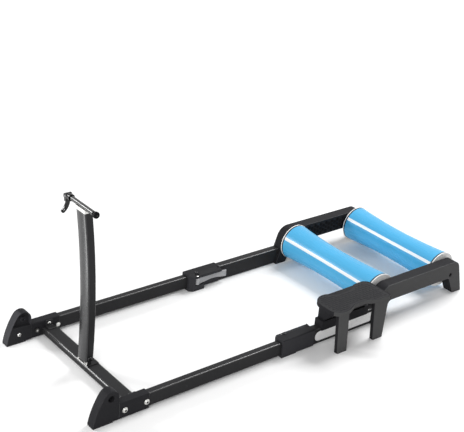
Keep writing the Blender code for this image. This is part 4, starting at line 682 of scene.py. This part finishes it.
def make_finishes(colours):
    """All finishes by name, and the plastic, coat and nylon again for their edges, paler as wear and as a
    painted highlight.
    """
    return {
        "coat": powder_coat("black_powder_coat", colours.coat),
        "coat_edge": powder_coat("black_powder_coat_edge", colours.coat, 0.18, 1.3, 0.8),
        "post": powder_coat("satin_black_post", colours.post, 0.24, 1.0, 0.45),
        "post_edge": powder_coat("satin_black_post_edge", colours.post, 0.34, 1.1, 0.17),
        "black": lacquer("gloss_black_metal", colours.black),
        "tube": lacquer("gloss_black_tube", scaled(colours.black, 0.5), 0.21, 0.8),
        "zinc": plated("zinc_plate", colours.zinc),
        "socket": plated("socket_shadow", scaled(colours.zinc, 0.12), 0.4),
        "steel": ground_steel("polished_steel", colours.steel),
        "plastic": moulding("dark_grey_plastic", colours.plastic),
        "plastic_edge": moulding("dark_grey_plastic_edge", colours.plastic, 0.36, 1.6, gloss=0.35),
        "tread": moulding("dark_grey_plastic_tread", colours.plastic, 0.5, 1.0, 0.0008, 0.08),
        # A lighter copy of the plastic, painted light on the far foot's front and the clamps' sides
        "side": moulding("dark_grey_plastic_side", scaled(colours.plastic, 1.9)),
        # A paler plastic, painted light on the outer faces of the arches and the step
        "pale": moulding("outer_plastic_painted_light", colours.pale_plastic),
        "knob": moulding("black_plastic_knob", colours.knob, 0.24),
        "cap": moulding("pale_grey_plastic", colours.cap, 0.4, gloss=0.5),
        "nylon": nylon("grey_nylon", colours.nylon),
        "nylon_edge": nylon("grey_nylon_edge", colours.nylon, 1.5),
        "rubber": rubber("black_rubber", colours.rubber),
        "label": label_film("white_label", colours.label),
    }


FINISHES = {}


def finishes(*names):
    """Finishes by name; all of them are made when the first is asked for."""
    if not FINISHES:
        FINISHES.update(make_finishes(bpy.context.scene.rollers_colours))
    return [FINISHES[name] for name in names]


# Stage


def add_lamp(name, place, aim, sides, energy):
    data = bpy.data.lights.new(name, "AREA")
    data.shape = "RECTANGLE"
    data.size, data.size_y = sides
    data.energy = energy
    lamp = add_object(name, data)
    lamp.location = place
    lamp.rotation_euler = (Vector(aim) - Vector(place)).to_track_quat("-Z", "Y").to_euler()
    lamp.visible_camera = False


class ROLLERS_OT_stage(Operator):
    """Lays the floor, hangs the lamps and sets up the camera"""

    bl_idname = "rollers.stage"
    bl_label = "Stage"

    def execute(self, context):
        settings = context.scene.rollers_stage
        bm = bmesh.new()
        bmesh.ops.create_grid(bm, x_segments=1, y_segments=1, size=settings.floor_size / 2)
        floor = add_object("floor", mesh_of(bm, "floor"))
        finish = Finish("pale_floor")
        x, y, _ = finish.axes()
        near, far = settings.plain_from**2, settings.plain_to**2
        lift = finish.ramp(x * x + y * y, near, far, settings.floor_lift, 1.0) * finish.seen()
        base = settings.floor_colour
        tone = finish.blend(finish.noise(0.02) * 0.04, base, scaled(base, 0.9))
        floor.data.materials.append(finish.surface(
            Base_Color=tone, Roughness=0.9, Emission_Color=finish.blend(lift, (0, 0, 0), (1, 1, 1)),
            Emission_Strength=1.0, Specular_IOR_Level=0.0,
        ))

        sky = Finish("studio", "worlds")
        light = sky.node("Background", {}, {"Color": colour((1, 1, 1)), "Strength": settings.sky})
        white = sky.node("Background", {}, {"Color": colour((1, 1, 1)), "Strength": 1.0})
        mixed = sky.node("MixShader", {}, {0: sky.seen(), 1: light, 2: white})
        sky.node("OutputWorld", {}, {"Surface": mixed})
        context.scene.world = sky.owner
        context.scene.view_settings.view_transform = "Standard"

        add_lamp("key_lamp", (1.7, 0.35, 2.3), (0, 0, 0), (1.3, 1.3), settings.key)
        add_lamp("rim_lamp", (-2.1, 2.1, 1.6), (-0.3, 0, 0), (0.65, 0.65), settings.rim)
        add_lamp("fill_lamp", (-2.4, -1.7, 1.9), (0, 0, 0), (1.8, 1.4), settings.fill)
        add_lamp("front_lamp", (-0.95, 0.22, 0.13), (-0.58, 0.03, 0.3), (0.18, 0.24), settings.front)

        data = bpy.data.cameras.new("camera")
        data.sensor_width = 36.0
        data.lens = settings.lens
        camera = add_object("camera", data)
        right = Vector((math.cos(settings.turn), math.sin(settings.turn), 0))
        ahead = Vector((-right.y, right.x, 0))
        back = Vector((0, 0, math.sin(settings.rise))) - ahead * math.cos(settings.rise)
        level = Matrix((right, back.cross(right), back)).transposed()
        spin = level @ Matrix.Rotation(settings.tilt, 3, "Z")
        place = Vector(settings.aim) + back * settings.distance
        camera.matrix_world = Matrix.Translation(place) @ spin.to_4x4()
        context.scene.camera = camera
        return {"FINISHED"}


# Pieces


class ROLLERS_OT_rails(Operator):
    """Finishes the telescopic rails and the crossbar"""

    bl_idname = "rollers.rails"
    bl_label = "Rails"

    def execute(self, context):
        edges = context.scene.rollers_edges
        for side in SIDES:
            for name, body in (("outer_rail", "base"), ("inner_rail", "front_frame")):
                node = f"{name}_{side}"
                bm = soften(from_node(node), edges.plate, angle=60)
                for face in bm.faces:
                    face.material_index = 0 if max(abs(part) for part in face.normal) > SQUARE else 1
                stand_in(node, "tube", bm, body, *COAT)
            paint(f"rail_glide_{side}", "nylon")

        bm = block(*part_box("crossbar"))
        soften(bm, edges.crossbar, 5, keep=lambda edge: edge.calc_length() > LONG_EDGE)
        wall = context.scene.rollers_frame.crossbar_wall
        ends = grow(bm, lambda face: abs(face.normal.y) > SQUARE, wall, 0)
        loops = [edge for face in ends for edge in face.edges]
        bmesh.ops.delete(bm, geom=ends, context="FACES_ONLY")
        bmesh.ops.bridge_loops(bm, edges=loops)
        bmesh.ops.recalc_face_normals(bm, faces=bm.faces)
        stand_in("crossbar", "tube", bm, "front_frame", *COAT)
        return {"FINISHED"}


class ROLLERS_OT_feet(Operator):
    """Builds the two front feet with their inner pockets, pads and bolts"""

    bl_idname = "rollers.feet"
    bl_label = "Feet"

    def execute(self, context):
        for side, way in SIDES.items():
            self.casting(context, side, way)
            node = f"foot_pad_{side}"
            rounded(node, "rubber", ROUNDS.pad, 35, "front_frame", "black_rubber", "rubber", "rubber")
            put_screw(f"foot_bolt_{side}", "y", -way, "foot", "front_frame")
        return {"FINISHED"}

    def casting(self, context, side, way):
        foot = context.scene.rollers_frame
        node = f"foot_{side}"
        low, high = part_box(node)
        inner = low.y if way > 0 else high.y

        def in_pocket(face):
            middle = face.calc_center_median()
            upper = middle.z > foot.pocket_z + POCKET.margin
            return upper and way * face.normal.y < -SQUARE and abs(middle.y - inner) < TOUCH

        bm = from_node(node)
        score(bm, (low.x, 0, foot.pocket_z), (POCKET.slope, 0, 1))
        grow(bm, in_pocket, foot.pocket_rim, -foot.pocket_depth)
        soften(bm, context.scene.rollers_edges.casting, 3, 38)
        centre = (high.x - foot.top_radius, inner + way * foot.pocket_depth, high.z - foot.top_radius)
        root = way * BOSS.root
        top = -way * (foot.pocket_depth - BOSS.sunk)
        shoulder = top + way * BOSS.chamfer
        hole = foot.boss * 0.42
        hole_rim = foot.boss * 0.48
        ring = [
            (foot.boss, root), (foot.boss, shoulder), (foot.boss - BOSS.chamfer, top), (hole_rim, top),
            (hole, shoulder), (hole, root), (foot.boss, root),
        ]
        append(bm, turned(ring, "y", centre))
        # The curved front of the far foot takes the lighter plastic, painted light
        for face in bm.faces:
            if way > 0 and face.normal.x < -0.3 and abs(face.normal.y) < 0.4:
                face.material_index = 2
        stand_in(node, "casting", bm, "front_frame", *PLASTIC, "side")


class ROLLERS_OT_sleeves(Operator):
    """Builds the rail sleeves, the corner brackets and their bolts"""

    bl_idname = "rollers.sleeves"
    bl_label = "Sleeves"

    def execute(self, context):
        for side, way in SIDES.items():
            rounded(f"rail_sleeve_{side}", "casting", ROUNDS.sleeve, 40, "front_frame", *PLASTIC)
            for end in ENDS:
                node = f"sleeve_bolt_{end}_{side}"
                at, half, _ = halves(node)
                at.y += way * (NUT.seat - half)
                hexagon = nut(at, -way)
                # The front nut is all painted shade; the rear one is plain zinc
                for face in hexagon.faces:
                    face.material_index = 2 if end == "front" else 0
                bm = append(screw_in(node, "y", way, SCREWS["sleeve"]), hexagon)
                stand_in(node, "screw", bm, "front_frame", *ZINC)
            rounded(f"corner_bracket_{side}", "plate", ROUNDS.bracket, 40, "front_frame", *COAT)
            put_screw(f"corner_bolt_{side}", "y", -way, "corner", "front_frame")
        return {"FINISHED"}


class ROLLERS_OT_post(Operator):
    """Builds the hinge bracket, its bolt and the bowed post"""

    bl_idname = "rollers.post"
    bl_label = "Post"

    def execute(self, context):
        self.hinge()
        self.bolts()
        self.post()
        return {"FINISHED"}

    def hinge(self):
        low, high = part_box("hinge_bracket")
        strip_end = low.x + HINGE.strip
        bm = from_node("hinge_bracket")
        score(bm, (strip_end, 0, 0), (1, 0, 0))
        x = low.x + HINGE.strip / 2
        for along in HINGE.slots:
            y = low.y + (high.y - low.y) * along
            outline = oblong(HINGE.radius, 12, [(x, y - HINGE.reach), (x, y + HINGE.reach)])
            bm = carve(bm, slab(outline, "z", low.z - PAST, low.z + HINGE.height))
        for face in bm.faces:
            ahead = face.calc_center_median().x < strip_end
            if ahead and abs(face.normal.z) + abs(face.normal.x) > SQUARE:
                face.material_index = 2
        stand_in("hinge_bracket", "plate", bm, "front_frame", "zinc_plate", "coat", "coat_edge", "zinc")

    def bolts(self):
        node = "hinge_bolt"
        middle, half, _ = halves(node)
        seat = half - SCREWS["hinge"].seat
        radius = HINGE_PIN.radius
        bm = turned([(0, -seat), (radius, -seat), (radius, seat), (0, seat)], "y", middle, 32)
        for way in SIDES.values():
            at = middle + Vector((0, way * seat, 0))
            append(bm, bolt(at, "y", way, SCREWS["hinge"], HINGE_PIN.shank))
        stand_in(node, "pair", bm, "front_frame", "gloss_black_metal", "black", "black", "socket")

    def post(self):
        middle, half, _ = halves("post")
        bm = from_node("post")
        for line in CROWN.lines:
            score(bm, (0, middle.y + half * line / 6, 0), (0, 1, 0))
        front = {}
        for vert in bm.verts:
            level = round(vert.co.z, 5)
            front[level] = min(front.get(level, math.inf), vert.co.x)
        for vert in bm.verts:
            if vert.co.x < front[round(vert.co.z, 5)] + CROWN.depth:
                vert.co.x += CROWN.fall * ((vert.co.y - middle.y) / half) ** 2
        for face in bm.faces:
            face.material_index = 0 if face.normal.x < -0.5 else 1
        stand_in("post", "tube", bm, "fork_post", "satin_black_post", "post", "post_edge")


class ROLLERS_OT_fork_mount(Operator):
    """Builds the fork tube, its cradle and the quick release skewer"""

    bl_idname = "rollers.fork_mount"
    bl_label = "Fork mount"

    def execute(self, context):
        plate = context.scene.rollers_edges.plate
        middle, half, radius = halves("fork_tube")
        rim = radius - SKEWER.chamfer
        edge = half - SKEWER.chamfer
        profile = [
            (SKEWER.bore, -half), (rim, -half), (radius, -edge), (radius, edge), (rim, half),
            (SKEWER.bore, half), (SKEWER.bore, -half),
        ]
        bm = turned(profile, "y", middle, 64)
        stand_in("fork_tube", "chrome", bm, "fork_post", "gloss_black_metal", "tube")

        node = "fork_tube_saddle"
        bm = soften(from_node(node), plate, angle=40)
        finish_piece("fork_tube_cradle", bm, "fork_post", finishes("zinc", "coat"), node)
        rounded("skewer", "rod", plate, 50, "fork_post", "zinc_plate", "black", "black")
        paint("skewer_pin", "steel")

        node = "skewer_lever"
        low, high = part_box(node)
        hole = oblong(LEVER_HOLE.radius, 16, [(low.x + a, low.z + b) for a, b in LEVER_HOLE.ends])
        bm = soften(from_node(node), ROUNDS.skewer_lever, angle=40)
        bm = carve(bm, slab(hole, "y", low.y - PAST, high.y + PAST))
        stand_in(node, "arm", bm, "skewer_handle", "gloss_black_metal", "black", "black")
        self.knob()
        return {"FINISHED"}

    def knob(self):
        middle, half, radius = halves("skewer_nut")
        length = 2 * half
        # A narrow collar against the fork, the gripped ring and a rounded end
        profile = [
            (SKEWER.bore, 0), (radius * 0.76, 0), (radius * 0.78, -0.0032), (radius * 0.97, -0.0042),
            (radius, -0.0052), (radius, -length * 0.72), (radius * 0.96, -length * 0.82),
            (radius * 0.72, -length), (SKEWER.bore, -length), (SKEWER.bore, 0),
        ]
        bm = turned(profile, "y", middle + Vector((0, half, 0)), 72)
        for vert in bm.verts:
            spoke = Vector((vert.co.x - middle.x, vert.co.z - middle.z))
            if spoke.length > radius * 0.93:
                dip = SKEWER.rib * max(0.0, math.cos(SKEWER.ribs * math.atan2(spoke.y, spoke.x))) ** 2
                spoke *= 1 - dip / radius
                vert.co.x = middle.x + spoke.x
                vert.co.z = middle.z + spoke.y
        stand_in("skewer_nut", "knob", bm, "skewer_knob", "black_plastic_knob", "knob")


class ROLLERS_OT_clamps(Operator):
    """Builds the clamp housings, their pins and the cam levers"""

    bl_idname = "rollers.clamps"
    bl_label = "Clamps"

    def execute(self, context):
        casting = context.scene.rollers_edges.casting
        for side, way in SIDES.items():
            node = f"clamp_housing_{side}"
            low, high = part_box(node)
            ridge = (high.y if way > 0 else low.y) - way * NUBS.inwards
            bm = soften(from_node(node), casting)
            for start, end in NUBS.spans:
                root = (low.x + start, ridge - way * NUBS.root, high.z - NUBS.root)
                tip = (low.x + end, ridge + way * NUBS.rise, high.z + NUBS.rise)
                append(bm, soften(block(root, tip), ROUNDS.nub, 3))
            # Upright faces of each housing take the lighter plastic, painted light
            for face in bm.faces:
                if face.material_index == 0 and abs(face.normal.z) < 0.5:
                    face.material_index = 2
            stand_in(node, "casting", bm, "base", *PLASTIC, "side")
            put_screw(f"clamp_pin_{side}", "z", 1, "clamp", "base")
            paint(f"clamp_pad_{side}", "rubber")
            node = f"clamp_lever_{side}"
            rounded(node, "arm", ROUNDS.clamp_lever, 40, f"{side}_lever", "grey_nylon", "nylon", "nylon_edge")
        return {"FINISHED"}


class ROLLERS_OT_arches(Operator):
    """Builds the two side arches and the plain label plate"""

    bl_idname = "rollers.arches"
    bl_label = "Arches"

    def execute(self, context):
        first, last = (sum(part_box(f"roller_axle_{end}"), Vector()) / 2 for end in ENDS)
        for side, way in SIDES.items():
            node = f"arch_bracket_{side}"
            low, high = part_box(node)
            inner, outer = (low.y, high.y) if way > 0 else (high.y, low.y)
            panel = block(
                (first.x + PANEL.ends, inner, first.z - PANEL.low),
                (last.x - PANEL.ends, inner + way * PANEL.depth, first.z + PANEL.high),
            )
            bm = soften(carve(from_node(node), panel, "UNION"), context.scene.rollers_edges.arch)
            bm = carve(bm, honeycomb(context.scene.rollers_frame, first, last, inner, way))
            # The outer face of each arch takes the paler plastic, painted light
            for face in bm.faces:
                if way * face.normal.y > SQUARE and abs(face.calc_center_median().y - outer) < TOUCH:
                    face.material_index = 2
            stand_in(node, "casting", bm, "base", *PLASTIC, "pale")
        rounded("label_plate", "film", ROUNDS.label, 40, "base", "white_label", "label", "label", segments=1)
        return {"FINISHED"}


class ROLLERS_OT_rollers(Operator):
    """Builds the hourglass rollers, their end caps, bearings, axles and end screws"""

    bl_idname = "rollers.rollers"
    bl_label = "Rollers"

    def execute(self, context):
        settings = context.scene.rollers_rollers
        for end, turn in zip(ENDS, (settings.front_turn, settings.rear_turn)):
            body = f"{end}_roller"
            self.shell(context, end, turn, body)
            for side in SIDES:
                node = f"roller_cap_{end}_{side}"
                rounded(node, "face", ROUNDS.cap, 40, body, "pale_grey_plastic", "cap", "cap")
                paint(f"bearing_{end}_{side}", "steel")
                # The axle screws, deep in their holes, are painted shade
                paint(f"axle_screw_{end}_{side}", "socket")
            paint(f"roller_axle_{end}", "steel")
        return {"FINISHED"}

    def shell(self, context, end, turn, body):
        node = f"roller_shell_{end}"
        colours = context.scene.rollers_colours
        settings = context.scene.rollers_rollers
        axle, half, radius = halves(node)
        sag = radius - settings.waist
        curve = (sag**2 + half**2) / (2 * sag)
        outer = []
        for i in range(ROLLER_STATIONS + 1):
            y = half * (2 * i / ROLLER_STATIONS - 1)
            outer.append((settings.waist + curve - math.sqrt(curve**2 - y**2), y))
        inner = [(r - settings.wall, y) for r, y in reversed(outer)]
        bm = turned(outer + inner + outer[:1], "y", axle, 128)
        skin = roller_skin(
            f"blue_roller_{end}", colours.blue, colours.stripe, colours.rubber, axle, turn,
            settings.highlight_width, half - settings.dark_end,
        )
        finish_piece(f"{node}_skin", bm, body, [skin], node)


class ROLLERS_OT_step(Operator):
    """Builds the step with the web between its legs, its sunk tread and rows of dashes"""

    bl_idname = "rollers.step"
    bl_label = "Step"

    def execute(self, context):
        step = context.scene.rollers_step
        low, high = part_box("step")
        floor = high.z - step.sink
        inner = high.y - WEB.inset
        web = [
            (inner, WEB.low), (inner - WEB.foot, WEB.low), (inner - WEB.width, WEB.bend),
            (inner - WEB.width, WEB.high), (inner, WEB.high),
        ]
        start = low.x + WEB.start
        bm = carve(from_node("step"), slab(web, "x", start, start + WEB.length), "UNION")
        soften(bm, context.scene.rollers_edges.step, 3)

        def level_at(face, height):
            return face.normal.z > SQUARE and abs(face.calc_center_median().z - height) < TOUCH

        grow(bm, lambda face: level_at(face, high.z), step.rim, -step.sink)
        bm.normal_update()
        dashes = self.tread(step, BVHTree.FromBMesh(bm), low, high, floor)
        for face in dashes.faces[:] + [face for face in bm.faces if level_at(face, floor)]:
            face.material_index = 2
        append(bm, dashes)
        # Faces on the step's outer side take the paler plastic, painted light
        for face in bm.faces:
            lit_near_side = face.normal.y < -0.6 and face.calc_center_median().y < low.y + LIT_SIDE
            if lit_near_side and face.material_index == 0:
                face.material_index = 3
        stand_in("step", "moulding", bm, "step_body", *PLASTIC, "tread", "pale")
        return {"FINISHED"}

    def tread(self, step, tree, low, high, floor):
        """The dashes that stand on the tread's floor, in staggered rows, where there is room."""
        half_l, half_w = step.dash_length / 2, step.dash_width / 2
        reach_l, reach_w = half_l + DASH.end_room, half_w + DASH.side_room

        def clear(x, y):
            hit = tree.ray_cast(Vector((x, y, high.z + PAST)), Vector((0, 0, -1)))[0]
            return hit is not None and abs(hit.z - floor) < TOUCH

        dashes = bmesh.new()
        for row in range(int((high.y - low.y) / step.row_pitch)):
            y = low.y + step.row_pitch * (row + 0.75)
            for k in range(int((high.x - low.x) / step.dash_pitch) + 2):
                x = low.x + step.dash_pitch * (k + (row % 2) / 2 - 0.25)
                if all(clear(x + a * reach_l, y + b * reach_w) for a in (-1, 1) for b in (-1, 1)):
                    root = (x - half_l, y - half_w, floor - DASH.root)
                    append(dashes, block(root, (x + half_l, y + half_w, high.z)))
        top = high.z - TOUCH
        return soften(dashes, ROUNDS.dash, 1, keep=lambda edge: all(vert.co.z > top for vert in edge.verts))


class ROLLERS_PT_panel(Panel):
    """Lists the pieces in the order in which they are made"""

    bl_idname = "ROLLERS_PT_panel"
    bl_label = "Bike rollers"
    bl_space_type = "VIEW_3D"
    bl_region_type = "UI"
    bl_category = "Rollers"

    def draw(self, context):
        for operator in OPERATORS:
            self.layout.operator(operator.bl_idname)


SETTINGS = {
    "rollers_colours": ColourSettings,
    "rollers_stage": StageSettings,
    "rollers_edges": EdgeSettings,
    "rollers_frame": FrameSettings,
    "rollers_rollers": RollerSettings,
    "rollers_step": StepSettings,
}
OPERATORS = (
    ROLLERS_OT_stage,
    ROLLERS_OT_rails,
    ROLLERS_OT_feet,
    ROLLERS_OT_sleeves,
    ROLLERS_OT_post,
    ROLLERS_OT_fork_mount,
    ROLLERS_OT_clamps,
    ROLLERS_OT_arches,
    ROLLERS_OT_rollers,
    ROLLERS_OT_step,
)


def register():
    for name, group in SETTINGS.items():
        bpy.utils.register_class(group)
        setattr(bpy.types.Scene, name, PointerProperty(type=group))
    for operator in OPERATORS:
        bpy.utils.register_class(operator)
    bpy.utils.register_class(ROLLERS_PT_panel)


def unregister():
    bpy.utils.unregister_class(ROLLERS_PT_panel)
    for operator in reversed(OPERATORS):
        bpy.utils.unregister_class(operator)
    for name, group in SETTINGS.items():
        delattr(bpy.types.Scene, name)
        bpy.utils.unregister_class(group)


def main():
    register()
    for operator in OPERATORS:
        package, name = operator.bl_idname.split(".")
        getattr(getattr(bpy.ops, package), name)()


if __name__ == "__main__":
    main()
